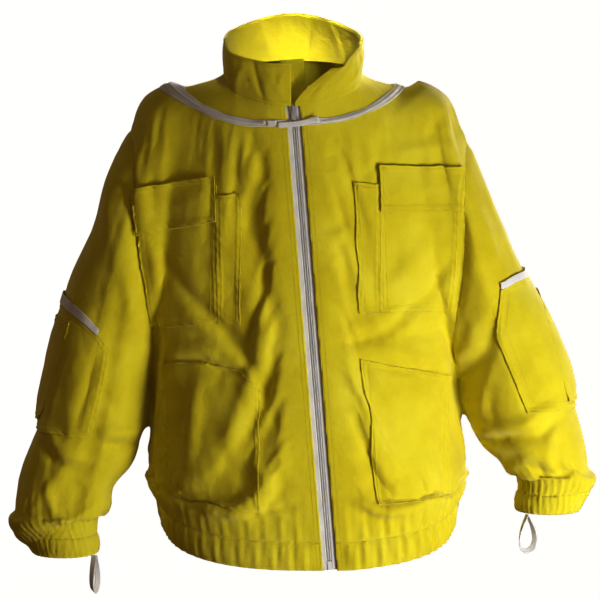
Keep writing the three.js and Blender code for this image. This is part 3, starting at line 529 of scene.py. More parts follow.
# Middle of the sleeve (x, y, z), half width and half depth, from inside the shoulder to past the cuff
ARMS = {
    "right": dict(way=-1, elbow=-512, cuff_end=-676, hinge_x=-302, route=[
        [-120, 12, -80, 80, 78], [-154, 14, -107, 89, 80], [-182, 16, -150, 88, 80], [-218, 18, -235, 80, 80],
        [-261, 20, -320, 73, 78], [-281, 20, -400, 77, 78], [-291, 17, -465, 80, 79], [-300, 13, -508, 75, 76],
        [-319, 7, -538, 67, 72], [-331, 0, -590, 72, 70], [-331, -6, -620, 73, 68], [-327, -10, -637, 64, 62],
        [-322, -13, -649, 46, 46], [-320, -15, -676, 46, 46], [-319, -16, -703, 46, 46]],
        seam=[[-244, 30], [-240, -62], [-201, -372], [-203, -450], [-222, -560], [-222, -740]]),
    "left": dict(way=1, elbow=-478, cuff_end=-615, hinge_x=338, route=[
        [125, 12, -76, 80, 78], [159, 14, -103, 88, 80], [186, 16, -146, 87, 80], [230, 18, -230, 80, 80],
        [274, 20, -310, 74, 78], [308, 20, -380, 76, 78], [325, 16, -438, 82, 79], [336, 12, -474, 79, 77],
        [353, 6, -506, 67, 71], [364, 0, -540, 64, 66], [367, -7, -560, 62, 62], [365, -11, -576, 56, 56],
        [361, -14, -588, 45, 45], [357, -16, -615, 45, 45], [356, -17, -642, 45, 45]],
        seam=[[259, 30], [255, -66], [229, -380], [240, -450], [262, -560], [262, -740]]),
}
CUFF, WAISTBAND, SIDE_SEAM = 27, 38, 15
HEM = [[-400, -687], [-200, -687], [-135, -677], [25, -638], [400, -638]]
NECK = [[-300, -165], [-100, -45], [-80, -32], [-60, -20], [-40, -11.5], [-14, -5], [10, -2], [75, 12], [300, 60]]


def torso_at(z):
    return through(-z, -TORSO[:, 0], TORSO[:, 1:]).T


def front_depth(z):
    return ZIP_TOP[1] + FRONT_LEAN * (z - ZIP_TOP[2])


def above_line(line):
    """A field that is positive above a line of (depth, height) corners."""
    depth, height = np.array(line, float).T
    return lambda places: places[:, 2] - np.interp(places[:, 1], depth, height)


above_neck = above_line(NECK)
above_hem = above_line(HEM)


def above_waist(places):
    return above_hem(places) - WAISTBAND


def past_armhole(side):
    """A field that is positive on the sleeve's side of the armhole seam."""
    arm = ARMS[side]
    x, z = np.array(arm["seam"][::-1], float).T
    return lambda places: arm["way"] * (places[:, 0] - np.interp(places[:, 2], z, x))


def above_height(height):
    return lambda places: places[:, 2] - height


past_right, past_left = past_armhole("right"), past_armhole("left")
SLEEVES = (("right", past_right), ("left", past_left))

# ---- The skin: torso and sleeves as one closed surface ----


def capped(rings):
    """Rings of points (rows, columns, 3) as a closed tube of triangles, with a fan over each end."""
    rows, columns = rings.shape[:2]
    places = np.concatenate([rings.reshape(-1, 3), rings[0].mean(0)[None], rings[-1].mean(0)[None]])
    quads = grid_faces(rows, columns, closed=True)
    here = np.arange(columns)
    right = (here + 1) % columns
    last = (rows - 1) * columns
    first_fan = np.stack([right, here, np.full(columns, rows * columns)], 1)
    last_fan = np.stack([last + here, last + right, np.full(columns, rows * columns + 1)], 1)
    return places, np.concatenate([quads[:, [0, 1, 2]], quads[:, [0, 2, 3]], first_fan, last_fan])


def torso_rings():
    """A superellipse at each height: x is the half width times cos to 2/squareness, and y runs from the side's
    depth to the front's or the back's as sin to 2/squareness. Beside the zip the front lies in the zip's plane."""
    heights, turns = np.linspace(58, -703, 170), np.linspace(0, 2 * np.pi, 200, endpoint=False)
    z, turn = np.meshgrid(heights, turns, indexing="ij")
    wide, middle, side, rear, square = (column.reshape(z.shape) for column in torso_at(z.ravel()))
    c, s = np.cos(turn), np.sin(turn)
    x = middle + wide * np.sign(c) * np.abs(c) ** (2 / square)
    y = side + (np.where(s < 0, front_depth(z), rear) - side) * np.abs(s) ** (2 / square)
    rings = np.stack([x, y, z], -1)
    plane = ZIP_TOP[1] - ((rings - ZIP_TOP)[..., [0, 2]] @ OUT[[0, 2]]) / OUT[1]
    flat = (1 - ease(np.abs((rings - ZIP_TOP) @ LEFT), 17, 55)) * (s < 0) * (z < -30)
    rings[..., 1] += flat * (plane - y)
    return rings


def sleeve_rings(route, rows=110, columns=80):
    """Ellipses across a smooth line through the route's rows, each square to the line and level in front view."""
    route = np.array(route, float)
    knots = np.concatenate([[0], np.cumsum(np.linalg.norm(np.diff(route[:, :3], axis=0), axis=1))])
    line = through(np.linspace(0, knots[-1], rows), knots, route)
    along = np.gradient(line[:, :3], axis=0)
    along /= np.linalg.norm(along, axis=1, keepdims=True)
    sideways = np.cross([0, 1, 0], along)
    sideways /= np.linalg.norm(sideways, axis=1, keepdims=True)
    depthways = np.cross(along, sideways)
    turn = np.linspace(0, 2 * np.pi, columns, endpoint=False)[None, :, None]
    return (line[:, None, :3] + line[:, None, 3:4] * np.cos(turn) * sideways[:, None]
            + line[:, None, 4:5] * np.sin(turn) * depthways[:, None])


def baked(piece):
    """The piece's mesh after its modifiers, as places in millimetres."""
    shown = piece.evaluated_get(bpy.context.evaluated_depsgraph_get())
    mesh = shown.to_mesh()
    places = np.empty(len(mesh.vertices) * 3)
    mesh.vertices.foreach_get("co", places)
    quads = np.array([face.vertices[:] for face in mesh.polygons if len(face.vertices) == 4])
    shown.to_mesh_clear()
    return places.reshape(-1, 3) / MM, quads


def edges_of(faces):
    pairs = np.concatenate([np.stack([faces[:, k], faces[:, (k + 1) % faces.shape[1]]], 1)
                            for k in range(faces.shape[1])])
    return np.unique(np.sort(pairs, 1), axis=0)


def relax(places, edges, times, share):
    """Moves each point a share of the way to the middle of its neighbours, several times over."""
    ends = np.concatenate([edges, edges[:, ::-1]])
    count = np.bincount(ends[:, 0], minlength=len(places))[:, None]
    for _ in range(times):
        total = np.stack([np.bincount(ends[:, 0], places[ends[:, 1], axis], len(places)) for axis in range(3)], 1)
        places = places + share * (total / np.maximum(count, 1) - places)
    return places


SKIN_STEP = 7.0                  # side of the skin's squares before they are halved


def joined_skin():
    """Torso and sleeves merged into one outer surface of even squares."""
    parts = [capped(torso_rings())] + [capped(sleeve_rings(arm["route"])) for arm in ARMS.values()]
    starts = np.cumsum([0] + [len(places) for places, _ in parts[:-1]])
    places = np.concatenate([places for places, _ in parts])
    faces = np.concatenate([faces + start for (_, faces), start in zip(parts, starts)])
    lump = mesh_object("skin", places, faces, COTTON)
    remesh = lump.modifiers.new("even", "REMESH")
    remesh.mode, remesh.voxel_size = "VOXEL", SKIN_STEP * MM
    places, quads = baked(lump)
    bpy.data.objects.remove(lump)
    return relax(places, edges_of(quads), 7, 0.5), quads


def freedom(places):
    """How freely the cloth may move: held at the neck, beside the zip, at the waistband and at the cuffs."""
    front = places[:, 1] < 0
    beside_zip = np.where(front, ease(np.abs(zip_lateral(places)), 20, 60), 1)
    free = beside_zip * ease(-above_neck(places), 10, 70) * ease(above_waist(places), 0, 45)
    for side, past in SLEEVES:
        cuff_top = ARMS[side]["cuff_end"] + CUFF
        on_sleeve = ease(past(places), -5, 5) * ease(ARMS[side]["way"] * places[:, 0], 90, 120)
        free = np.where(on_sleeve > 0.5, ease(places[:, 2], cuff_top, cuff_top + 40), free)
    return free


SLACK = 0.045                    # spare cloth each way, which is what buckles into folds
SETTLE_FRAMES, FARTHEST = 24, 15.0


def settled(places, quads):
    """Lets the slack skin fall as cloth, held where it is sewn to elastic, zip and collar, and returns how far
    each point went, at most the farthest distance."""
    skin = mesh_object("falling_skin", places, quads, COTTON)
    hold = skin.vertex_groups.new(name="hold")
    weights = np.round(1 - freedom(places), 2)
    for weight in np.unique(weights):
        if weight > 0:
            hold.add(np.flatnonzero(weights == weight).tolist(), float(weight), "REPLACE")
    cloth = skin.modifiers.new("cloth", "CLOTH")
    cloth.settings.vertex_group_mass = "hold"
    cloth.settings.quality = 6
    cloth.settings.mass = 0.25
    cloth.settings.tension_stiffness = cloth.settings.compression_stiffness = 18
    cloth.settings.shear_stiffness = 6
    cloth.settings.bending_stiffness = 0.35
    cloth.settings.shrink_min = -SLACK
    cloth.settings.use_pressure = True
    cloth.settings.uniform_pressure_force = 0.35
    cloth.settings.effector_weights.gravity = 0.6
    cloth.collision_settings.use_collision = False
    cloth.point_cache.frame_start, cloth.point_cache.frame_end = 1, SETTLE_FRAMES
    for step in range(1, SETTLE_FRAMES + 1):
        bpy.context.scene.frame_set(step)
    moved = baked(skin)[0] - places
    bpy.context.scene.frame_set(1)
    bpy.data.objects.remove(skin)
    length = np.linalg.norm(moved, axis=1, keepdims=True)
    return moved * (FARTHEST * np.tanh(length / FARTHEST) / np.maximum(length, 1e-6))


def halved(places, quads):
    """The same surface with each square made four, smoothed as a subdivision surface."""
    coarse = mesh_object("coarse", places, quads, COTTON)
    finer = coarse.modifiers.new("finer", "SUBSURF")
    finer.levels = finer.render_levels = 1
    result = baked(coarse)
    bpy.data.objects.remove(coarse)
    return result


# ---- Folds, each along a line of (x, z) corners in front view ----

# Corners, half width, height along the middle, and height of the step from the line's left side to its right
BODY_FOLDS = [
    ([(-67, -68), (-50, -113), (-35, -150), (-21, -177)], 13, -5.0, 1.5),
    ([(-74, -164), (-61, -213), (-50, -240), (-40, -283), (-25, -328), (-9, -377), (0, -407)], 15, -7.0, 2.0),
    ([(-95, -190), (-84, -240), (-70, -300), (-50, -350)], 16, 4.0, 0),
    ([(-200, -237), (-180, -271), (-158, -297), (-131, -326), (-108, -349), (-90, -369), (-66, -394),
      (-43, -444), (-31, -468)], 13, -5.0, 4.5),
    ([(-214, -159), (-207, -228), (-191, -309), (-180, -364)], 12, 5.0, 0),
    ([(-173, -88), (-169, -143)], 12, -2.5, 0),
    ([(59, -78), (49, -98), (48, -136)], 7, -2.5, 0.8),
    ([(106, -61), (140, -71), (157, -66)], 7, -2.0, 0),
    ([(140, -113), (187, -100), (229, -98)], 9, 3.0, 0),
    ([(126, -120), (88, -147)], 9, -2.5, 0.8),
    ([(25, -218), (56, -211), (86, -199)], 9, -2.5, 1.2),
    ([(38, -249), (84, -222)], 9, -2.5, 0),
    ([(21, -249), (48, -294), (64, -376)], 15, -3.5, 0),
    ([(150, -345), (198, -290), (232, -240)], 12, -4.5, 3.0),
    ([(130, -300), (160, -270), (200, -215)], 13, 3.5, 0),
    ([(30, -362), (86, -364), (122, -353), (167, -323)], 9, -4.0, -2.5),
    ([(60, -348), (110, -340), (160, -312)], 9, 3.0, 0),
    ([(-189, -383), (-136, -385), (-109, -398), (-81, -398), (-57, -413)], 8, -4.0, -3.5),
    ([(-185, -370), (-130, -368), (-90, -380)], 10, 4.0, 0),
    ([(-139, -400), (-143, -468), (-154, -542)], 9, 5.0, 0),
    ([(-43, -598), (17, -586)], 9, -3.5, 2.0),
    ([(-149, -580), (-100, -604), (-48, -601)], 9, 4.0, 0),
    ([(-169, -614), (-89, -630), (27, -636)], 8, -3.5, 0),
    ([(57, -568), (125, -595), (190, -610)], 10, 4.5, 0),
    ([(60, -590), (120, -614), (170, -622)], 7, -3.0, 0),
    ([(49, -395), (87, -468), (119, -519)], 14, -5.5, 0),
    ([(-19, -468), (-43, -519)], 11, -4.5, 1.5),
    ([(-25, -515), (-19, -565)], 12, -3.5, 0),
    ([(102, -385), (160, -397), (220, -403)], 8, -3.0, -2.0),
    ([(119, -368), (170, -378), (216, -395)], 8, 3.5, 0),
    ([(172, -515), (200, -550), (220, -583)], 9, 3.0, 0),
    ([(-60, -560), (-100, -520), (-120, -470)], 13, -3.0, 0),
    ([(232, -330), (196, -352), (150, -352)], 10, -4.0, 0),
]
ARM_FOLDS = [
    ([(-241, -100), (-238, -139), (-228, -185), (-227, -222), (-217, -276), (-213, -311), (-210, -356)],
     11, -7.0, 0),
    ([(-206, -63), (-215, -121), (-224, -153)], 11, -4.0, 0),
    ([(-262, -120), (-268, -190), (-262, -250)], 13, 4.5, 0),
    ([(-250, -240), (-236, -310), (-226, -370)], 11, 5.0, 0),
    ([(-366, -475), (-330, -507), (-296, -521), (-282, -528)], 12, 6.5, 3.0),
    ([(-372, -500), (-340, -528), (-300, -545)], 10, -5.0, 0),
    ([(-282, -488), (-246, -490), (-217, -488)], 10, 6.0, 0),
    ([(-272, -505), (-246, -513), (-225, -512)], 7, -6.0, 0),
    ([(-272, -376), (-285, -434), (-304, -492)], 11, -2.5, -5.0),
    ([(-279, -428), (-241, -463)], 10, -4.0, 0),
    ([(-345, -555), (-340, -579), (-333, -603), (-298, -621)], 8, 4.5, 2.0),
    ([(-298, -623), (-275, -603), (-256, -589)], 8, 4.0, 0),
    ([(-330, -640), (-285, -628), (-256, -606)], 8, -4.0, 0),
    ([(-300, -560), (-305, -600)], 10, -4.0, 0),
    ([(-367, -520), (-377, -570), (-375, -625)], 4, -2.0, 0),
    ([(262, -172), (280, -220), (295, -264)], 9, 4.0, 0),
    ([(242, -150), (240, -220), (235, -302), (223, -349)], 11, -6.0, 0),
    ([(215, -49), (197, -74), (193, -93)], 9, -4.0, 0),
    ([(288, -316), (274, -369), (240, -415), (226, -434)], 12, -5.5, 2.5),
    ([(262, -330), (250, -370), (232, -400)], 10, 4.5, 0),
    ([(278, -401), (264, -475)], 10, 4.0, 0),
    ([(262, -484), (326, -473), (395, -444)], 10, 5.5, 0),
    ([(262, -502), (300, -494), (350, -489), (398, -462)], 8, -6.0, 0),
    ([(297, -500), (340, -512), (297, -542)], 10, 5.0, 0),
    ([(300, -528), (330, -522)], 9, -4.5, 0),
    ([(385, -466), (362, -492), (352, -542)], 9, 4.0, 0),
    ([(372, -492), (379, -571)], 8, -3.5, 0),
    ([(345, -520), (348, -570)], 8, -3.5, 0),
    ([(318, -540), (330, -575)], 8, 3.5, 0),
]
# The same for the back
BACK_FOLDS = [
    ([(-150, -70), (-60, -110), (40, -112), (150, -72)], 16, -3.5, 0),
    ([(-205, -150), (-150, -230), (-110, -330)], 17, -6.0, 0),
    ([(-160, -150), (-110, -230), (-80, -300)], 16, 4.5, 0),
    ([(214, -150), (165, -240), (130, -340)], 17, -6.0, 2.0),
    ([(172, -150), (125, -230), (100, -300)], 16, 4.5, 0),
    ([(-60, -200), (-45, -330), (-60, -460)], 18, -4.5, 0),
    ([(40, -180), (30, -300), (55, -430)], 18, 5.0, 0),
    ([(95, -350), (80, -470), (100, -580)], 15, -5.5, 0),
    ([(-120, -380), (-105, -480), (-125, -590)], 15, 5.0, 0),
    ([(-170, -400), (-160, -500), (-172, -580)], 13, -5.0, 0),
    ([(-20, -440), (-15, -540), (-30, -600)], 14, -5.0, 0),
    ([(20, -470), (30, -590)], 13, 4.5, 0),
    ([(150, -430), (145, -520), (160, -590)], 13, 5.0, 0),
    ([(-190, -540), (-80, -566), (40, -560), (190, -540)], 15, 4.0, 0),
    ([(-276, -200), (-270, -300), (-300, -420)], 13, -5.0, 0),
    ([(-240, -160), (-232, -260), (-262, -380)], 12, 5.0, 0),
    ([(-372, -470), (-320, -500), (-250, -490)], 11, 6.0, 0),
    ([(-365, -500), (-320, -526), (-262, -520)], 9, -6.0, 0),
    ([(-350, -550), (-330, -610)], 10, -4.0, 0),
    ([(-300, -550), (-310, -620)], 10, 4.0, 0),
    ([(290, -200), (288, -290), (318, -400)], 13, -5.0, 0),
    ([(250, -160), (250, -260), (285, -370)], 12, 5.0, 0),
    ([(275, -455), (330, -470), (400, -440)], 11, 6.0, 0),
    ([(285, -480), (340, -496), (398, -470)], 9, -6.0, 0),
    ([(385, -500), (365, -570)], 9, -4.0, 0),
    ([(335, -510), (340, -570)], 9, 4.0, 0),
]


def fold_height(places, corners, half_width, height, step):
    """Height of one fold: a bell across the line plus a step that changes sign over it, fading at both ends.
    The distance to the line and the way along it come from the nearest of its straight spans."""
    line = np.array(corners, float)
    spans = np.diff(line, axis=0)
    lengths = np.linalg.norm(spans, axis=1)
    before = np.concatenate([[0], np.cumsum(lengths)])
    nearest = np.full(len(places), 1e9)
    signed, along = np.zeros(len(places)), np.zeros(len(places))
    flat = places[:, [0, 2]]
    for start, span, length, done in zip(line, spans, lengths, before):
        way = span / length
        from_start = flat - start
        t = np.clip(from_start @ way, 0, length)
        distance = np.linalg.norm(from_start - t[:, None] * way, axis=1)
        side = from_start[:, 0] * way[1] - from_start[:, 1] * way[0]
        closer = distance < nearest
        nearest = np.where(closer, distance, nearest)
        signed = np.where(closer, np.sign(side) * distance, signed)
        along = np.where(closer, (done + t) / before[-1], along)
    across = signed / half_width
    bell = np.exp(-across ** 2)
    return (height + step * across * 1.6) * bell * np.sin(np.pi * np.clip(along, 0.02, 0.98)) ** 0.6


def fold_field(places, normals):
    """All the folds at once: each counts only on its own side of the jacket, and where the cloth is free."""
    front = ease(-normals[:, 1], -0.15, 0.3)
    back = ease(normals[:, 1], -0.15, 0.3)
    total = np.zeros(len(places))
    for side, folds in ((front, BODY_FOLDS + ARM_FOLDS), (back, BACK_FOLDS)):
        for corners, half_width, height, step in folds:
            wander = 5 * np.stack([lumps(places, 55, 31), np.zeros(len(places)), lumps(places, 55, 32)], 1)
            total += side * fold_height(places + wander, corners, half_width, height, step)
    return total


TORSO_RADIUS, SLEEVE_RADIUS = 165, 62    # rough radii, which turn an angle into a distance round the cloth
TORSO_ROUND, SLEEVE_ROUND = 2 * np.pi * TORSO_RADIUS, 2 * np.pi * SLEEVE_RADIUS


def around(places):
    """Millimetres round the torso or a sleeve, counted from the wearer's left side or the arm's outside."""
    middle, side = torso_at(places[:, 2])[1:3]
    run = np.arctan2((places[:, 1] - side) * 1.5, places[:, 0] - middle) * TORSO_RADIUS
    for name, past in SLEEVES:
        route = np.array(ARMS[name]["route"], float)[::-1]
        x, y = (np.interp(places[:, 2], route[:, 2], route[:, axis]) for axis in (0, 1))
        turn = np.arctan2(places[:, 1] - y, places[:, 0] - x)
        run = np.where(past(places) > 0, turn * SLEEVE_RADIUS, run)
    return run


WAIST_PITCH, WAIST_FINE, CUFF_PITCH, CUFF_FINE = 15, 8.5, 11, 6.5    # distances between puckers


def sewn_shape(places, normals):
    """Everything that sewing does to the cloth, as a height along the normals: folds, broad lumps, the gathers
    above and in the waistband and cuffs, the casings' puff, their rows of stitching, and the seams' valleys."""
    free = freedom(places)
    run = around(places)
    on_sleeve = np.maximum(past_right(places), past_left(places)) > 0
    height = free * (fold_field(places, normals) + 2.4 * lumps(places, (60, 60, 85), 3)
                     + 1.3 * lumps(places, (26, 26, 40), 4) + 0.5 * lumps(places, (12, 12, 18), 5))
    beside_zip = np.where(places[:, 1] < 0, ease(np.abs(zip_lateral(places)), 13, 36), 1)
    above = above_waist(places)
    waist = beside_zip * np.where(on_sleeve, 0, 1)
    pucker = gathers(run + 0.12 * above, WAIST_PITCH, 1.0) + 0.45 * gathers(run, WAIST_FINE, 2.2)
    height += waist * 2.6 * pucker * np.exp(-np.clip(above, 0, None) / 30) * ease(above, -1, 7)
    inside = np.clip(-above / WAISTBAND, 0, 1)
    rows = sum(np.exp(-((inside - share) * WAISTBAND / 1.8) ** 2) for share in (0.06, 0.94))
    height += waist * (above < 0) * (2.3 * pucker * (0.55 + 0.45 * np.sin(np.pi * inside))
                                     + 3.2 * np.sin(np.pi * inside) ** 0.7 - 1.6 * rows)
    for name, past in SLEEVES:
        over = places[:, 2] - ARMS[name]["cuff_end"] - CUFF
        sleeve = (past(places) > 0) & (ARMS[name]["way"] * places[:, 0] > 90)
        fine = (gathers(run + 0.15 * over, CUFF_PITCH, 4.0 + ARMS[name]["way"])
                + 0.5 * gathers(run, CUFF_FINE, 1.4))
        height += sleeve * 2.8 * fine * np.exp(-np.clip(over, 0, None) / 24) * ease(over, -1, 6)
        within = np.clip(-over / CUFF, 0, 1)
        height += sleeve * (over < 0) * (1.7 * fine + 2.6 * np.sin(np.pi * within) ** 0.7)
        valley = np.exp(-(past(places) / 4.5) ** 2) * (places[:, 2] > -395)
        height -= 1.8 * valley * free
    side_valley = np.exp(-((places[:, 1] - SIDE_SEAM) / 4.5) ** 2) * ~on_sleeve
    return height - 1.5 * side_valley * free


def make_skin():
    """Rest places, shaped places and triangles of the whole skin."""
    places, quads = joined_skin()
    moved = np.zeros_like(places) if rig.quick() else settled(places, quads)
    rest, fine = halved(places, quads)
    fallen, _ = halved(places + moved, quads)
    shaped = rest + (fallen - rest) * freedom(rest)[:, None]
    shaped = shaped + normals_of(shaped, fine) * sewn_shape(rest, normals_of(rest, fine))[:, None]
    return rest, shaped, np.concatenate([fine[:, [0, 1, 2]], fine[:, [0, 2, 3]]])


# ---- Cutting the skin along seams ----


def split(rest, now, faces, field):
    """Cuts triangles along the line where a field of the rest places is zero, so that each lies on one side.
    A crossed triangle has one lone corner, and the line meets the two edges there: it becomes three."""
    value = field(rest)
    value = np.where(np.abs(value) < 0.25, 0.25, value)
    above = value[faces] > 0
    lone_up, lone_down = above.sum(1) == 1, above.sum(1) == 2
    crossed = lone_up | lone_down
    lone = np.where(lone_up, above.argmax(1), (~above).argmax(1))[crossed]
    cut = faces[crossed]
    row = np.arange(len(cut))
    a, b, c = cut[row, lone], cut[row, (lone + 1) % 3], cut[row, (lone + 2) % 3]
    pairs = np.concatenate([np.sort(np.stack([a, b], 1), 1), np.sort(np.stack([a, c], 1), 1)])
    edges, which = np.unique(pairs, axis=0, return_inverse=True)
    which = which.ravel() + len(rest)
    share = (value[edges[:, 0]] / (value[edges[:, 0]] - value[edges[:, 1]]))[:, None]
    rest, now = (np.concatenate([p, p[edges[:, 0]] + share * (p[edges[:, 1]] - p[edges[:, 0]])])
                 for p in (rest, now))
    ab, ac = which[:len(cut)], which[len(cut):]
    new = np.concatenate([np.stack([a, ab, ac], 1), np.stack([ab, b, c], 1), np.stack([ab, c, ac], 1)])
    return rest, now, np.concatenate([faces[~crossed], new])


def trimmed(cloth, field):
    """The part of a cloth where the field is positive, cut clean along its zero line."""
    rest, now, faces = split(*cloth, field)
    faces = faces[field(rest[faces].mean(1)) > 0]
    used, faces = np.unique(faces, return_inverse=True)
    return rest[used], now[used], faces.reshape(-1, 3)


def largest(cloth):
    """The largest joined part of a cloth: labels spread along the edges until they settle."""
    rest, now, faces = cloth
    label = np.arange(len(rest))
    while True:
        lowest = label[faces].min(1)
        new = label.copy()
        np.minimum.at(new, faces.ravel(), np.repeat(lowest, 3))
        new = new[new]
        if (new == label).all():
            break
        label = new
    names, counts = np.unique(label[faces[:, 0]], return_counts=True)
    faces = faces[label[faces[:, 0]] == names[counts.argmax()]]
    used, faces = np.unique(faces, return_inverse=True)
    return rest[used], now[used], faces.reshape(-1, 3)


def negative(field):
    return lambda places: -field(places)


def cloth_piece(name, cloth, material, thickness, period=None):
    """A mesh of one cut cloth with its weave hanging straight, period millimetres round if it is a tube."""
    rest, now, faces = cloth
    run = around(rest)
    if period is None:
        centre = np.pi / 2 * TORSO_RADIUS * (1 if rest[:, 1].mean() > 30 else -1)
        run = (run - centre + TORSO_ROUND / 2) % TORSO_ROUND - TORSO_ROUND / 2
    uv = corner_uv(run, rest[:, 2], faces, period)
    return thicken(mesh_object(name, now, faces, material, uv), thickness)


ANYWHERE = 500                   # the value of a field where it doesn't cut
whole_skin = make_skin()
body_skin = trimmed(trimmed(trimmed(whole_skin, negative(above_neck)), negative(past_right)), negative(past_left))
body_skin = trimmed(body_skin, above_hem)


def past_zip(way):
    """A field that is positive to one side of the zip's tape in front, and everywhere at the back."""
    return lambda places: np.where(places[:, 1] < 0, way * zip_lateral(places) - TAPE_EDGE, ANYWHERE)


def behind_side_seam(places):
    return places[:, 1] - SIDE_SEAM


CLOTH = 1.1
front_skin = trimmed(body_skin, negative(behind_side_seam))
# The cloth of each part, then the CAD node and the flat size of its panel and of its length of waistband
BODY_PARTS = {
    "front_right": (trimmed(front_skin, past_zip(-1)), "front_panel_right", (0.30, 0.64),
                    "waistband_front_right", (0.34, 0.046)),
    "front_left": (trimmed(front_skin, past_zip(1)), "front_panel_left", (0.28, 0.64),
                   "waistband_front_left", (0.34, 0.046)),
    "back": (trimmed(body_skin, behind_side_seam), "back_panel", (0.56, 0.66), "waistband_back", (0.70, 0.046)),
}
for part, (cloth, panel_node, panel_flat, band_node, band_flat) in BODY_PARTS.items():
    panel = cloth_piece("cloth_" + part, largest(trimmed(cloth, above_waist)), COTTON, CLOTH)
    dress(panel, "cotton_cloth", [panel_node], "jacket")
    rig.sheet(panel, flat=panel_flat, held="hung")
    band = cloth_piece("waist_casing_" + part, trimmed(cloth, negative(above_waist)), COTTON, CLOTH)
    dress(band, "cotton_cloth", [band_node], "jacket")
    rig.sheet(band, flat=band_flat, held="gathered")

# ---- Sleeves and cuffs ----

ELBOW_REACH = 70                 # the cloth bends over this much above and below the elbow


def elbow_bend(side):
    arm = ARMS[side]
    line = [(arm["hinge_x"] * MM, 0, (arm["elbow"] + way * ELBOW_REACH) * MM) for way in (1, -1)]
    return lambda piece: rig.blend(piece, "jacket", "forearm_" + side, start=line[0], end=line[1])


SLEEVE_CUT = {"right": (0.44, 0.54), "left": (0.40, 0.50)}
for side, past in SLEEVES:
    cuff_end = ARMS[side]["cuff_end"]
    above_cuff = above_height(cuff_end + CUFF)
    tube = trimmed(trimmed(whole_skin, past), above_height(cuff_end))
    sleeve = cloth_piece("sleeve_" + side, largest(trimmed(tube, above_cuff)), COTTON, CLOTH, SLEEVE_ROUND)
    dress(sleeve, "cotton_cloth", ["sleeve_upper_" + side, "sleeve_lower_" + side], bend=elbow_bend(side))
    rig.sheet(sleeve, flat=SLEEVE_CUT[side], held="hung")
    cuff = cloth_piece("cuff_casing_" + side, trimmed(tube, negative(above_cuff)), COTTON, CLOTH, SLEEVE_ROUND)
    dress(cuff, "cotton_cloth", ["cuff_" + side], "forearm_" + side)
    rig.sheet(cuff, flat=(0.42, 0.033), held="gathered")

# ---- Stitches and teeth: small solids set out along lines ----


def unit(vectors):
    return vectors / np.maximum(np.linalg.norm(vectors, axis=-1, keepdims=True), 1e-9)


def repeated(name, shape, faces, centres, along, normals, material):
    """Copies of a small shape, whose three numbers lie along the line, across it and out from the cloth."""
    along = unit(along - (along * normals).sum(1, keepdims=True) * normals)
    across = np.cross(normals, along)
    places = (centres[:, None] + shape[None, :, 0, None] * along[:, None]
              + shape[None, :, 1, None] * across[:, None] + shape[None, :, 2, None] * normals[:, None])
    copies = faces[None] + (np.arange(len(centres)) * len(shape))[:, None, None]
    return mesh_object(name, places.reshape(-1, 3), copies.reshape(-1, faces.shape[1]), material)


def rounded_bar(length, width, height):
    """A bar with a square of corners at each third and a blunt smaller square at each end."""
    square = np.array([[-1, -1], [1, -1], [1, 1], [-1, 1]]) / 2
    rings = [np.column_stack([np.full(4, share * length / 2), square * (width * size, height * size)])
             for share, size in ((-1, 0.4), (-0.75, 1), (0.75, 1), (1, 0.4))]
    caps = np.array([[3, 2, 1, 0], [12, 13, 14, 15]])
    return np.concatenate(rings), np.concatenate([grid_faces(4, 4, closed=True), caps])


def spaced(points, normals, pitch):
    """Centres, directions and normals every pitch millimetres along a line of points."""
    gaps = np.linalg.norm(np.diff(points, axis=0), axis=1)
    run = np.concatenate([[0], np.cumsum(gaps)])
    at = np.arange(pitch / 2, run[-1], pitch)
    pick = lambda rows: np.stack([np.interp(at, run, rows[:, axis]) for axis in range(3)], 1)
    return pick(points), unit(pick(np.gradient(points, axis=0))), unit(pick(normals))


STITCH, STITCH_PITCH = 2.5, 3.4
THREAD_WIDTH, THREAD_HEIGHT = 0.55, 0.5


def stitches(name, lines, slot, body=None, bend=None):
    """Rows of topstitching along lines of (points, normals), as one piece."""
    laid = [spaced(points, normals, STITCH_PITCH) for points, normals in lines if len(points) > 3]
    if not laid:
        return
    centres, along, normals = (np.concatenate(part) for part in zip(*laid))
    shape, faces = rounded_bar(STITCH, THREAD_WIDTH, THREAD_HEIGHT)
    piece = repeated(name, shape, faces, centres + 0.12 * normals, along, normals, THREAD)
    dress(piece, slot, body=body, bend=bend)


def finder(places, faces):
    """A function that sends rays at a surface and gives the first places hit and the normals there."""
    tree = BVHTree.FromPolygons(places.tolist(), faces.tolist())

    def hit(starts, ways):
        found = [tree.ray_cast(Vector(start), Vector(way)) for start, way in zip(starts, ways)]
        kept = [(place, normal) for place, normal, _, _ in found if place is not None]
        if not kept:
            return np.zeros((0, 3)), np.zeros((0, 3))
        points, normals = (np.array(part) for part in zip(*kept))
        facing_start = np.sign((normals * np.asarray(ways, float)[:1]).sum(1, keepdims=True))
        return points, -normals * np.where(facing_start == 0, 1, facing_start)

    return hit


FAR_FRONT = -400


def front_line(hit, corners, step=4.0):
    """A line of (x, z) corners laid on a surface from the front."""
    line = np.array(corners, float)
    lengths = np.concatenate([[0], np.cumsum(np.linalg.norm(np.diff(line, axis=0), axis=1))])
    at = np.linspace(0, lengths[-1], max(int(lengths[-1] / step), 4))
    x, z = (np.interp(at, lengths, line[:, axis]) for axis in (0, 1))
    starts = np.stack([x, np.full(len(x), FAR_FRONT), z], 1)
    return hit(starts, np.broadcast_to([0.0, 1.0, 0.0], starts.shape))


# ---- Pockets, flaps and touch tape: patches of the skin, lifted layer upon layer ----


def cropped(cloth, corners, margin=12):
    """The faces of a cloth near an outline."""
    rest, now, faces = cloth
    low, high = np.min(corners, 0) - margin, np.max(corners, 0) + margin
    flat = rest[faces].mean(1)[:, [0, 2]]
    faces = faces[(flat > low).all(1) & (flat < high).all(1)]
    used, faces = np.unique(faces, return_inverse=True)
    return rest[used], now[used], faces.reshape(-1, 3)


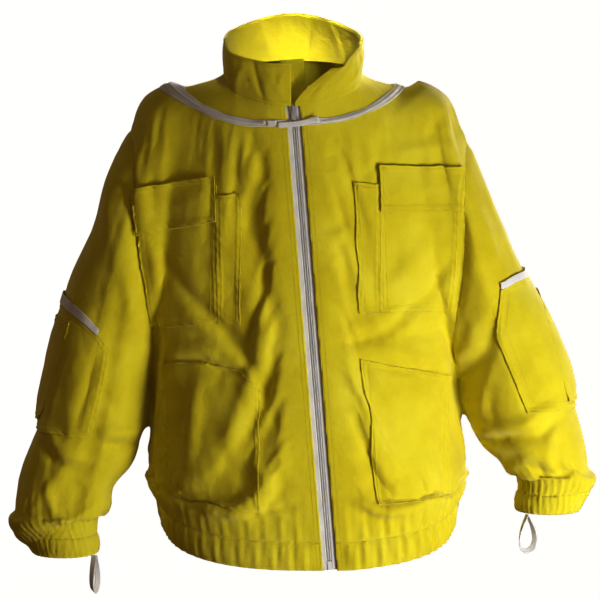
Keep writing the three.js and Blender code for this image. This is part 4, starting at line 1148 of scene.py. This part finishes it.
def refined(cloth):
    """Each triangle made four by the middles of its edges."""
    rest, now, faces = cloth
    sides = np.sort(np.concatenate([faces[:, [0, 1]], faces[:, [1, 2]], faces[:, [2, 0]]]), 1)
    edges, which = np.unique(sides, axis=0, return_inverse=True)
    ab, bc, ca = (which.ravel() + len(rest)).reshape(3, -1)
    a, b, c = faces.T
    finer = np.concatenate([np.stack(part, 1) for part in ((a, ab, ca), (ab, b, bc), (ca, bc, c), (ab, bc, ca))])
    return (np.concatenate([rest, rest[edges].mean(1)]), np.concatenate([now, now[edges].mean(1)]), finer)


def half_planes(corners):
    """One field for each side of a bulging outline of (x, z) corners, positive inside, in millimetres."""
    corners = np.array(corners, float)
    after = np.roll(corners, -1, 0)
    turn = np.sign((corners[:, 0] * after[:, 1] - after[:, 0] * corners[:, 1]).sum())
    sides = unit(after - corners)

    def field(start, way):
        return lambda places: turn * (way[0] * (places[:, 2] - start[1]) - way[1] * (places[:, 0] - start[0]))

    return [field(start, way) for start, way in zip(corners, sides)]


TURNING, TURNING_LIFT = 7.0, 0.7     # the turned-in edge of a patch, and how much thicker it is
TURNING_SLOPE = 1.5                  # how wide the step down from it is
STITCH_IN, STITCH_DIP = 2.2, 0.5     # how far in the row of stitching runs, and how deep it pulls
STITCH_CORNER = 1.35                 # how many times farther in it turns its corners


def patch(name, corners, lift, thickness, material, slot, nodes, flat, body=None, bend=None, back=0, bag=0,
          sewn=True, hem=0):
    """A patch of the skin inside a bulging outline, lifted off it. The turned edge is thicker, a row of stitching
    dips in it, a hem of the given height runs along the outline's first side, and the middle bags outwards."""
    fields = half_planes(corners)
    cloth = refined(cropped(whole_skin, corners))
    cloth = trimmed(cloth, lambda places: back - places[:, 1])
    for field in fields:
        cloth = trimmed(cloth, field)
    rest, now, faces = cloth
    normals = normals_of(now, faces)
    to_edges = np.stack([field(rest) for field in fields])
    edge = to_edges.min(0)
    height = lift + bag * ease(edge, 4, 45)
    if sewn:
        height = (height + TURNING_LIFT * (1 - ease(edge, TURNING - TURNING_SLOPE, TURNING))
                  + 0.5 * np.exp(-(edge / 0.9) ** 2))
        height = height - STITCH_DIP * np.exp(-((edge - STITCH_IN) / 1.0) ** 2)
        height = height + 0.35 * np.sin((rest[:, 0] + rest[:, 2]) / 2.4) * np.exp(-(edge / 6) ** 2)
    if hem:
        height = height + TURNING_LIFT * (1 - ease(to_edges[0], hem - TURNING_SLOPE, hem))
        height = height - STITCH_DIP * np.exp(-((to_edges[0] - hem + TURNING_SLOPE) / 1.0) ** 2)
    now = now + height[:, None] * normals
    piece = cloth_piece(name, (rest, now, faces), material, thickness)
    dress(piece, slot, nodes, body, bend)
    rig.sheet(piece, flat=(flat[0] * MM, flat[1] * MM), held="hung")
    if sewn:
        hit = finder(now, faces)
        outline = np.array(corners, float)
        middle = outline.mean(0)
        inset = outline + unit(middle - outline) * STITCH_IN * STITCH_CORNER
        ring = np.concatenate([inset, inset[:1]])
        lines = [front_line(hit, ring[k:k + 2]) for k in range(len(inset))]
        if hem:
            down = unit((middle - outline[:2].mean(0))[None])[0] * (hem - TURNING_SLOPE)
            lines.append(front_line(hit, outline[:2] + down))
        stitches(name + "_stitching", lines, slot, body, bend)


def shifted(x, z, corners):
    return [(x + a, z + b) for a, b in corners]


POCKET_LIFT, LOOP_LIFT, HOOK_LIFT, FLAP_LIFT = 1.6, 2.5, 3.4, 4.9
TOUCH_CLOTH, FLAP_CLOTH = 0.7, 1.4
FLAP_WIDTH, FLAP_HEIGHT, POCKET_HEIGHT, PEN_WIDTH = 118, 60, 158, 34
STRIP_START, STRIP_END, STRIP_HEIGHT, STRIP_FOOT = 16, 22, 16, 8
CHEST_POCKETS = {
    "right": dict(way=-1, x=-108.6, z=-138, flap_drop=16, lower_drop=4, pen_drop=26, lean=3),
    "left": dict(way=1, x=121, z=-124.5, flap_drop=0.5, lower_drop=0, pen_drop=25, lean=7),
}


def chest_pocket(side, way, x, z, flap_drop, lower_drop, pen_drop, lean):
    """A flapped pocket with a pen pocket sewn beside it, and touch tape between flap and pocket."""
    foot = -POCKET_HEIGHT - 40
    outer = way * FLAP_WIDTH
    pocket = [(0, -12), (way * (FLAP_WIDTH - 3), -flap_drop - 12),
              (way * (FLAP_WIDTH - 26 + 2 * lean), foot - flap_drop / 2), (lean * way, foot)]
    patch(f"chest_pocket_cloth_{side}", shifted(x, z, pocket), POCKET_LIFT, CLOTH, COTTON, "cotton_cloth",
          [f"chest_pocket_{side}"], (126, 200), "jacket", bag=2.5)
    pen = [(-way * 0.3, -pen_drop), (-way * PEN_WIDTH, -pen_drop + 3),
           (-way * (PEN_WIDTH - lean * 1.6), foot - 2), (way * (lean - 0.3), foot)]
    patch(f"chest_pen_pocket_cloth_{side}", shifted(x, z, pen), POCKET_LIFT, CLOTH, COTTON, "cotton_cloth",
          [f"chest_pen_pocket_{side}"], (42, 184), "jacket", bag=1.2, hem=12)
    top = STRIP_FOOT + STRIP_HEIGHT - FLAP_HEIGHT
    ends = [(way * STRIP_START, top - flap_drop * 0.15), (way * (FLAP_WIDTH - STRIP_END), top - flap_drop * 0.85)]
    strip = shifted(x, z, ends + [(a, b - STRIP_HEIGHT) for a, b in ends[::-1]])
    patch(f"touch_loops_{side}", strip, LOOP_LIFT + 1, TOUCH_CLOTH, TOUCH, "touch_fastener",
          [f"chest_loop_patch_{side}"], (84, 18), "jacket", sewn=False)
    patch(f"touch_hooks_{side}", strip, HOOK_LIFT + 1, TOUCH_CLOTH, TOUCH, "touch_fastener",
          [f"chest_hook_patch_{side}"], (84, 18), f"chest_flap_{side}", sewn=False)
    flap = [(0, 0), (outer, -flap_drop), (outer, -flap_drop - lower_drop - FLAP_HEIGHT), (0, -FLAP_HEIGHT)]
    patch(f"chest_flap_cloth_{side}", shifted(x, z, flap), FLAP_LIFT + 0.8, FLAP_CLOTH, COTTON, "cotton_cloth",
          [f"chest_flap_{side}"], (126, 66), f"chest_flap_{side}", bag=1.5)


for side, sizes in CHEST_POCKETS.items():
    chest_pocket(side, **sizes)

LOWER_WIDTH, LOWER_HEIGHT, LOWER_FOOT = 124, 178, -590
LOWER_RIGHT = [(-38, LOWER_HEIGHT + 12), (-90, LOWER_HEIGHT + 21), (-LOWER_WIDTH - 21, LOWER_HEIGHT + 20),
               (-LOWER_WIDTH - 16, 20), (-LOWER_WIDTH + 19, 2), (0, -4), (-8, LOWER_HEIGHT - 8)]
LOWER_LEFT = [(-15, LOWER_HEIGHT + 26), (LOWER_WIDTH - 18, LOWER_HEIGHT + 1), (LOWER_WIDTH - 18, 2), (0, 3)]
patch("lower_pocket_cloth_right", shifted(-45, LOWER_FOOT, LOWER_RIGHT), POCKET_LIFT, CLOTH, COTTON,
      "cotton_cloth", ["lower_pocket_right"], (150, 206), "jacket", bag=4)
patch("lower_pocket_cloth_left", shifted(116, LOWER_FOOT, LOWER_LEFT), POCKET_LIFT, CLOTH, COTTON,
      "cotton_cloth", ["lower_pocket_left"], (126, 206), "jacket", bag=3.5)

SLEEVE_POCKETS = {
    "right": dict(
        pocket=[(-279, -351.6), (-420, -272), (-420, -494), (-291, -494), (-275, -430), (-264, -372)],
        pen=[(-316, -341), (-420, -330), (-420, -480), (-361, -480), (-337, -400)]),
    "left": dict(
        pocket=[(298, -292.6), (470, -240), (470, -462), (331, -460), (290.5, -356)],
        pen=[(350, -292), (460, -285), (460, -452), (392, -452)]),
}
WRAP_BACK = 40                   # the sleeve pockets reach round the arm to this depth
for side, outlines in SLEEVE_POCKETS.items():
    patch(f"sleeve_pocket_cloth_{side}", outlines["pocket"], POCKET_LIFT, CLOTH, COTTON, "cotton_cloth",
          [f"sleeve_pocket_{side}"], (165, 195), bend=elbow_bend(side), back=WRAP_BACK, bag=3)
    patch(f"sleeve_pen_pocket_cloth_{side}", outlines["pen"], POCKET_LIFT + 2.2, CLOTH, COTTON, "cotton_cloth",
          [f"sleeve_pen_pocket_{side}"], (95, 140), bend=elbow_bend(side), back=WRAP_BACK, bag=1.2)

# ---- Tapes laid on the skin ----

skin_hit = finder(whole_skin[1], whole_skin[2])
skin_tree = BVHTree.FromPolygons(whole_skin[1].tolist(), whole_skin[2].tolist())

TRIMS = {
    "right": dict(corners=[(-372, -276), (-277, -343.5), (-279, -353), (-376, -295)], flat=(115, 15)),
    "left": dict(corners=[(297, -283), (372, -259), (374, -270), (298, -292)], flat=(84, 12)),
}
for side, trim in TRIMS.items():
    patch(f"sleeve_pocket_binding_{side}", trim["corners"], 3.6, 1.0, BINDING, "white_tape",
          [f"sleeve_pocket_trim_{side}"], trim["flat"], "jacket", back=WRAP_BACK, bag=0.6, sewn=False)

YOKE_APEX = np.array([0.0, 0.0, -120.0])
HOOD_SPREAD = np.radians(3.6)    # the tape's width, seen from the apex
HOOD_TEETH_PITCH, HOOD_TEETH_LIFT = 2.1, 2.7


def yoke_rise(turn):
    """How steeply the hood zip's line rises from the axis below the neck."""
    front = np.where(np.cos(turn) > 0, 2.4 * np.sin(2 * turn) ** 2, 0)
    return np.radians(26 + 11 * ((1 - np.cos(turn)) / 2) ** 0.92 + 1.8 * np.sin(turn) - front)


def yoke_points(turn, spread):
    """Where the line, moved by part of its spread, meets the skin: rays from the axis along the cone."""
    rise = yoke_rise(turn) + spread
    ways = np.stack([np.sin(turn), -np.cos(turn), np.tan(rise)], 1)
    tree_hits = [skin_tree.ray_cast(Vector(YOKE_APEX + 30 * way), Vector(way)) for way in ways]
    places = np.array([place for place, _, _, _ in tree_hits])
    normals = np.array([normal for _, normal, _, _ in tree_hits])
    return places, normals * np.sign((normals * ways).sum(1, keepdims=True))


def hood_zip():
    """Half of a zip sewn round the yoke: a wavy tape and a line of teeth, open at the front zip."""
    gap = np.radians(5.6)
    turn = np.linspace(gap, 2 * np.pi - gap, 420)
    wave = lumps(np.outer(turn, [120, 0, 0]), 16, 21)
    shares = np.linspace(-0.5, 0.5, 9)
    rows = []
    for share in shares:
        spread = HOOD_SPREAD * (1.08 + 0.28 * wave + 0.3 * np.clip(-np.sin(turn), 0, 1))
        places, normals = yoke_points(turn, share * spread)
        lift = 1.9 + 0.7 * wave * (share + 0.5) - 0.6 * (2 * share) ** 4
        rows.append(places + lift[:, None] * normals)
    points = np.stack(rows, 1)
    tape = sheet_grid("hood_zip_tape_cloth", points, BINDING, np.repeat(normals, len(shares), 0), 0.9)
    dress(tape, "white_tape", ["hood_zip_tape"], "jacket")
    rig.sheet(tape, flat=(0.95, 0.014), held="laid")
    clear = np.abs(turn - np.pi) < np.pi - np.radians(20)
    middle, normals = yoke_points(turn[clear], np.zeros(clear.sum()))
    shape, faces = rounded_bar(1.2, 3.2, 1.3)
    centres, along, normals = spaced(middle, normals, HOOD_TEETH_PITCH)
    teeth = repeated("hood_zip_teeth", shape, faces, centres + HOOD_TEETH_LIFT * normals, along, normals, NYLON)
    dress(teeth, "nylon_chain", ["hood_zip_chain"], "jacket")
    edge, normals = yoke_points(turn, np.full_like(turn, -0.42 * HOOD_SPREAD))
    stitches("hood_zip_stitching", [(edge + 2.0 * normals, normals)], "white_tape", "jacket")


hood_zip()

# ---- Front zip ----

CHAIN_HEAD, CHAIN_FOOT, CHAIN_EDGE, CHAIN_SPLIT, CHAIN_PITCH = 3, ZIP_RUN - 14, 2.9, 0.6, 1.5
TAPE_OUT, CHAIN_MIDDLE, GUARD_OUT = -PANEL - 0.3, -3.1, -6.8


def front_zip(side, way):
    """One side of the zip: a woven tape sewn behind the front's edge, and a coil of teeth along it."""
    s, across = np.linspace(0.3, ZIP_RUN - 1, 320), np.linspace(CHAIN_EDGE + 0.3, TAPE_WIDTH, 9)
    s, across = np.meshgrid(s, across, indexing="ij")
    ripple = 0.18 * np.sin(s / 9) * (across - CHAIN_EDGE) / TAPE_WIDTH
    cord = 0.45 * np.exp(-((across - CHAIN_EDGE - 1.3) / 0.8) ** 2)
    points = zip_point(s, way * across, TAPE_OUT + ripple + cord - 0.2)
    tape = sheet_grid(f"zip_tape_{side}", points, ZIP_TAPE, OUT, 0.8)
    dress(tape, "white_tape", [f"front_zip_tape_{side}"], "jacket")
    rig.sheet(tape, flat=(0.64, 0.0135), held="stretched")
    at = np.arange(CHAIN_HEAD + 0.6, CHAIN_FOOT - 0.6, CHAIN_PITCH) + (way > 0) * CHAIN_PITCH / 2
    shape, faces = rounded_bar(CHAIN_EDGE - CHAIN_SPLIT + 0.5, 1.05, 2.2)
    middle = zip_point(at, np.full(len(at), way * (CHAIN_EDGE + CHAIN_SPLIT - 0.4) / 2), CHAIN_MIDDLE)
    lay = np.broadcast_to(way * LEFT, middle.shape)
    teeth = repeated(f"zip_teeth_{side}", shape, faces, middle, lay, np.broadcast_to(OUT, middle.shape), NYLON)
    dress(teeth, "nylon_chain", [f"front_zip_chain_{side}"], "jacket")
    rows = []
    for inset in (2.2, 7.5):
        s = np.linspace(2, ZIP_RUN - 3, 300)
        starts = zip_point(s, way * (TAPE_EDGE + inset), 60.0)
        points, normals = skin_hit(starts, np.broadcast_to(-OUT, starts.shape))
        rows.append((points, normals))
    stitches(f"zip_topstitching_{side}", rows, "cotton_cloth", "jacket")


front_zip("right", -1)
front_zip("left", 1)


def zip_guard():
    """A strip of the body's cloth behind the zip, standing a little above it, with soft ripples."""
    s, across = np.meshgrid(np.linspace(-60, ZIP_RUN - 2, 260), np.linspace(-14, 20, 14), indexing="ij")
    points = zip_point(s, across, GUARD_OUT + 0.5 * np.sin(s / 23) * np.sin(across / 9) - 0.5)
    guard = sheet_grid("zip_guard_cloth", points, LINING, OUT, 1.2)
    dress(guard, "cotton_lining", ["zip_guard"], "jacket")
    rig.sheet(guard, flat=(0.70, 0.035), held="hung")


zip_guard()


def hood_tail():
    """The loose end of the hood zip's tape, laid over the front zip and curling up at its free end."""
    across = np.linspace(-22, 33, 40)
    curl = 1.6 * ease(across, 14, 33) ** 2 + 0.3 * np.sin(across / 5)
    s = np.linspace(-4, 4, 7)
    points = zip_point(27 + s[None, :] - 4.5 * ease(across, 5, 33)[:, None], across[:, None] + 0 * s[None, :],
                       (3.4 + curl)[:, None] - 0.4 * (s[None, :] / 4) ** 4)
    tail = sheet_grid("hood_tape_end", points, BINDING, OUT, 1.0)
    dress(tail, "white_tape", ["hood_zip_tail"], "hood_zip_end")
    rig.sheet(tail, flat=(0.056, 0.010), held="hung")


hood_tail()

# ---- Collar ----

COLLAR_MIDDLE_Y, COLLAR_START = -14, np.radians(1.4)
COLLAR_HEIGHT, COLLAR_DIP, COLLAR_BACK_RISE, COLLAR_BOW = 54, 8, 13, 2.5
COLLAR_FALL, COLLAR_FALL_SPREAD = np.array([50, -6, -6]), np.radians(62)
# Creases in the standing collar: turn and share of its height at each end, half width, and height
COLLAR_CREASES = [
    (-0.45, 0.0, -0.62, 1.0, 4.5, -2.2), (-0.9, 0.1, -0.75, 0.9, 6.0, 1.8), (-1.4, 0.0, -1.2, 0.8, 6.0, -1.8),
    (0.45, 0.1, 0.8, 0.9, 5.0, -2.2), (0.75, 0.0, 1.25, 0.8, 5.0, 1.8), (1.5, 0.2, 1.3, 1.0, 5.0, -1.6),
    (2.3, 0.1, 2.5, 0.9, 6.0, -2.0), (2.9, 0.2, 2.8, 1.0, 6.0, 1.6), (3.5, 0.0, 3.7, 0.9, 6.0, -1.8),
    (4.1, 0.2, 4.0, 1.0, 5.0, 1.8), (0.2, 0.45, 1.1, 0.55, 4.0, -1.4), (-0.25, 0.5, -1.0, 0.4, 4.0, -1.2),
]


def neck_edge():
    """Distance from the collar's axis and height of the cut neck edge, against the turn from the front."""
    rest, now, _ = body_skin
    edge = now[np.abs(above_neck(rest)) < 0.5]
    turn = np.arctan2(edge[:, 0], -(edge[:, 1] - COLLAR_MIDDLE_Y)) % (2 * np.pi)
    order = np.argsort(turn)
    reach = np.hypot(edge[:, 0], edge[:, 1] - COLLAR_MIDDLE_Y)[order]
    turn, height = turn[order], edge[order, 2]
    ring = lambda values: np.concatenate([values[-9:], values, values[:9]])
    turns = np.concatenate([turn[-9:] - 2 * np.pi, turn, turn[:9] + 2 * np.pi])
    return lambda at: (np.interp(at, turns, ring(reach)), np.interp(at, turns, ring(height)))


collar_foot = neck_edge()


def away_from_neck(turn):
    """Level directions at turns from the front."""
    return np.stack([np.sin(turn), -np.cos(turn), 0 * turn], -1)


def collar_points(turn, share, distance):
    """The collar at a turn from the front and a share of its height: it stands on the neck edge, bows out in the
    middle, dips at the sides, rises at the back, and its left corner falls open."""
    reach, foot = collar_foot(turn)
    out = away_from_neck(turn)
    height = COLLAR_HEIGHT - COLLAR_DIP * np.sin(turn) ** 2 + COLLAR_BACK_RISE * ((1 - np.cos(turn)) / 2) ** 4
    fall = (1 - ease(turn, 0, COLLAR_FALL_SPREAD)) * np.clip(share, 0, 1) ** 1.3
    crease = np.zeros_like(turn)
    for turn0, share0, turn1, share1, half_width, depth in COLLAR_CREASES:
        along = np.clip((share - share0) / (share1 - share0), 0, 1)
        middle = turn0 + (turn1 - turn0) * along
        across = (turn - middle % (2 * np.pi) + np.pi) % (2 * np.pi) - np.pi
        end = np.sin(np.pi * np.clip(share * 0.8 + 0.1, 0, 1))
        crease += depth * end * np.exp(-(across * 95 / half_width) ** 2)
    size = np.stack([turn * 90, np.zeros_like(turn), share * 50], -1).reshape(-1, 3)
    crease += (1.5 * lumps(size, 24, 8) + 0.6 * lumps(size, 9, 9)).reshape(turn.shape) * ease(share, 0.05, 0.4)
    distance = distance + COLLAR_BOW * np.sin(np.clip(share, 0, 1) * np.pi) + crease
    middle = np.array([0, COLLAR_MIDDLE_Y, 0])
    points = middle + (reach + distance)[..., None] * out + fall[..., None] * COLLAR_FALL
    points[..., 2] += foot + 0.75 + share * height
    return points


def collar():
    """Two layers: the outer one rolls over the top edge onto the lining."""
    turn = np.linspace(COLLAR_START, 2 * np.pi - COLLAR_START, 300)
    rising = np.linspace(-0.06, 0.97, 34)
    share = np.concatenate([rising, [0.99, 1.0, 1.0, 0.985]])
    roll = np.concatenate([np.full_like(rising, 1.5), [1.3, 0.6, -0.8, -1.6]])
    turns, shares = np.meshgrid(turn, share, indexing="ij")
    outward = away_from_neck(turns).reshape(-1, 3)
    points = collar_points(turns, shares, np.broadcast_to(roll, turns.shape))
    outer = sheet_grid("collar_outer_cloth", points, COTTON, outward, 1.1)
    dress(outer, "cotton_cloth", ["collar_outer"], "jacket")
    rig.sheet(outer, flat=(0.62, 0.068), held="stretched")
    low = np.linspace(-0.02, 0.975, 34)
    turns, shares = np.meshgrid(turn, low, indexing="ij")
    points = collar_points(turns, shares, np.full(turns.shape, -1.7))
    outward = away_from_neck(turns).reshape(-1, 3)
    inner = sheet_grid("collar_lining_cloth", points, LINING, -outward, 1.0)
    dress(inner, "cotton_lining", ["collar_inner"], "jacket")
    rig.sheet(inner, flat=(0.60, 0.060), held="stretched")
    rows = []
    for share, distance, way in ((0.93, 1.6, 1), (0.06, 1.6, 1), (0.93, -2.8, -1)):
        line = collar_points(turn, np.full_like(turn, share), distance)
        rows.append((line, way * away_from_neck(turn)))
    stitches("collar_stitching", rows, "cotton_cloth", "jacket")


collar()

# ---- Elastics, the waistband's facing, and the thumb loops ----


def lining_ring(name, cloth, inset, thickness, material, slot, nodes, body, flat, period=None):
    """A ring inside a casing: the casing's own cloth before its puckers, set in from it."""
    rest, _, faces = cloth
    now = rest - inset * normals_of(rest, faces)
    piece = cloth_piece(name, (rest, now, faces), material, thickness, period)
    dress(piece, slot, nodes, body)
    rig.sheet(piece, flat=flat, held="stretched")


TAPE_STOP = 17                   # the waist's elastic and facing stop at the zip's tape


def clear_of_zip(places):
    return np.where(places[:, 1] < 0, np.abs(zip_lateral(places)) - TAPE_STOP, ANYWHERE)


waist_ring = trimmed(trimmed(body_skin, negative(above_waist)), clear_of_zip)
lining_ring("waist_elastic_web", waist_ring, 3.6, 1.3, ELASTIC, "elastic_web", ["waist_elastic"], "jacket",
            (1.05, 0.04))
lining_ring("waistband_lining", waist_ring, 5.6, 1.0, LINING, "cotton_lining", ["waistband_facing"], "jacket",
            (1.05, 0.04))
for side, past in SLEEVES:
    foot = ARMS[side]["cuff_end"]
    tube = trimmed(trimmed(whole_skin, past), above_height(foot))
    ring = trimmed(tube, negative(above_height(foot + CUFF)))
    lining_ring(f"cuff_elastic_web_{side}", ring, 3.4, 1.2, ELASTIC, "elastic_web", [f"cuff_elastic_{side}"],
                f"forearm_{side}", (0.30, 0.029), SLEEVE_ROUND)

LOOPS = {"right": (-278.7, -30.05, -676.3, 75), "left": (326.59, -46.41, -615.3, 25)}
LOOP_WIDTH, LOOP_HEIGHT, LOOP_TAPE = 26, 54, 8


def thumb_loop(side, x, y, z, turn):
    """Elastic tape in a drop-shaped loop: across is the sine of the way round times a power of its half's sine,
    and down is one less its cosine. The tape twists as it nears the foot."""
    t = np.linspace(0.02, 0.98, 90) * 2 * np.pi
    across = (LOOP_WIDTH - 1.5) / 2 / 0.738 * np.sin(t) * np.sin(t / 2) ** 1.2
    down = -(LOOP_HEIGHT - 2.6) * (1 - np.cos(t)) / 2 - 1.6
    width = np.linspace(-LOOP_TAPE / 2, LOOP_TAPE / 2, 9)
    turn = np.radians(turn)
    twist = 0.75 * np.sin(t / 2) ** 2
    way = unit(np.stack([np.gradient(across), np.gradient(down)], 1))
    x_here = across[:, None] + width * (np.sin(twist) * way[:, 1])[:, None]
    down = down[:, None] - width * (np.sin(twist) * way[:, 0])[:, None]
    width = width * np.cos(twist)[:, None]
    points = np.stack([x + x_here * np.cos(turn) - width * np.sin(turn),
                       y + x_here * np.sin(turn) + width * np.cos(turn), z + np.minimum(down, -1.2)], -1)
    loop = sheet_grid(f"thumb_loop_web_{side}", points, ELASTIC, [0, 0, -1], 1.2, offset=0)
    dress(loop, "elastic_web", [f"finger_loop_{side}"], f"thumb_loop_{side}")
    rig.sheet(loop, flat=(0.125, 0.010), held="hung")


for side, place in LOOPS.items():
    thumb_loop(side, *place)

# ---- Rows of stitching on the body, and the finishes of the zip's own hard pieces ----

FACING_LINES = [[(14, -134), (50, -135)], [(-31, -142), (-8, -136)], [(-40, -163), (-60, -160)]]
stitches("facing_stitching", [front_line(skin_hit, line) for line in FACING_LINES], "cotton_cloth", "jacket")

for name, material in {"front_zip_slider": METAL, "front_zip_pull": METAL, "front_zip_top_stop_right": METAL,
                       "front_zip_top_stop_left": METAL, "front_zip_pin": METAL, "front_zip_box": NYLON,
                       "hood_zip_start": NYLON}.items():
    part = frame["nodes"][name]
    for slot in part.material_slots:
        slot.material = material

# ---- Stage and size ----


def make_stage():
    """A round floor well below the jacket that sweeps up into a wall: flat, a quarter circle, then straight
    up. It glows pale and lights nothing, so it looks the same from every side."""
    floor, flat, radius, height = -3.2, 9.0, 2.0, 16.0
    bend = np.linspace(0, np.pi / 2, 16)
    reach = np.concatenate([[1e-4, flat], flat + radius * np.sin(bend[1:]), [flat + radius]]) / MM
    z = (np.concatenate([[0, 0], radius - radius * np.cos(bend[1:]), [height]]) + floor) / MM
    turn = np.linspace(0, 2 * np.pi, 64, endpoint=False)
    points = np.stack([reach[:, None] * np.cos(turn), reach[:, None] * np.sin(turn),
                       z[:, None] + 0 * turn], -1)
    shader = Shader("backdrop", (0.9, 0.9, 0.9), 0.9, Emission_Color=(1, 1, 1, 1), Emission_Strength=0.95)
    places = points.reshape(-1, 3)
    faces = facing(places, grid_faces(*points.shape[:2], closed=True), np.array([0, 0, 1]) - places / 1e4)
    backdrop = mesh_object("backdrop", places, faces, shader.material)
    backdrop.visible_diffuse = backdrop.visible_glossy = backdrop.visible_shadow = False
    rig.stage(backdrop)


make_stage()
json.dump({"cad": [list(corner) for corner in cad_box], "visual": [list(corner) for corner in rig.bounds()]},
          open("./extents.json", "w"))
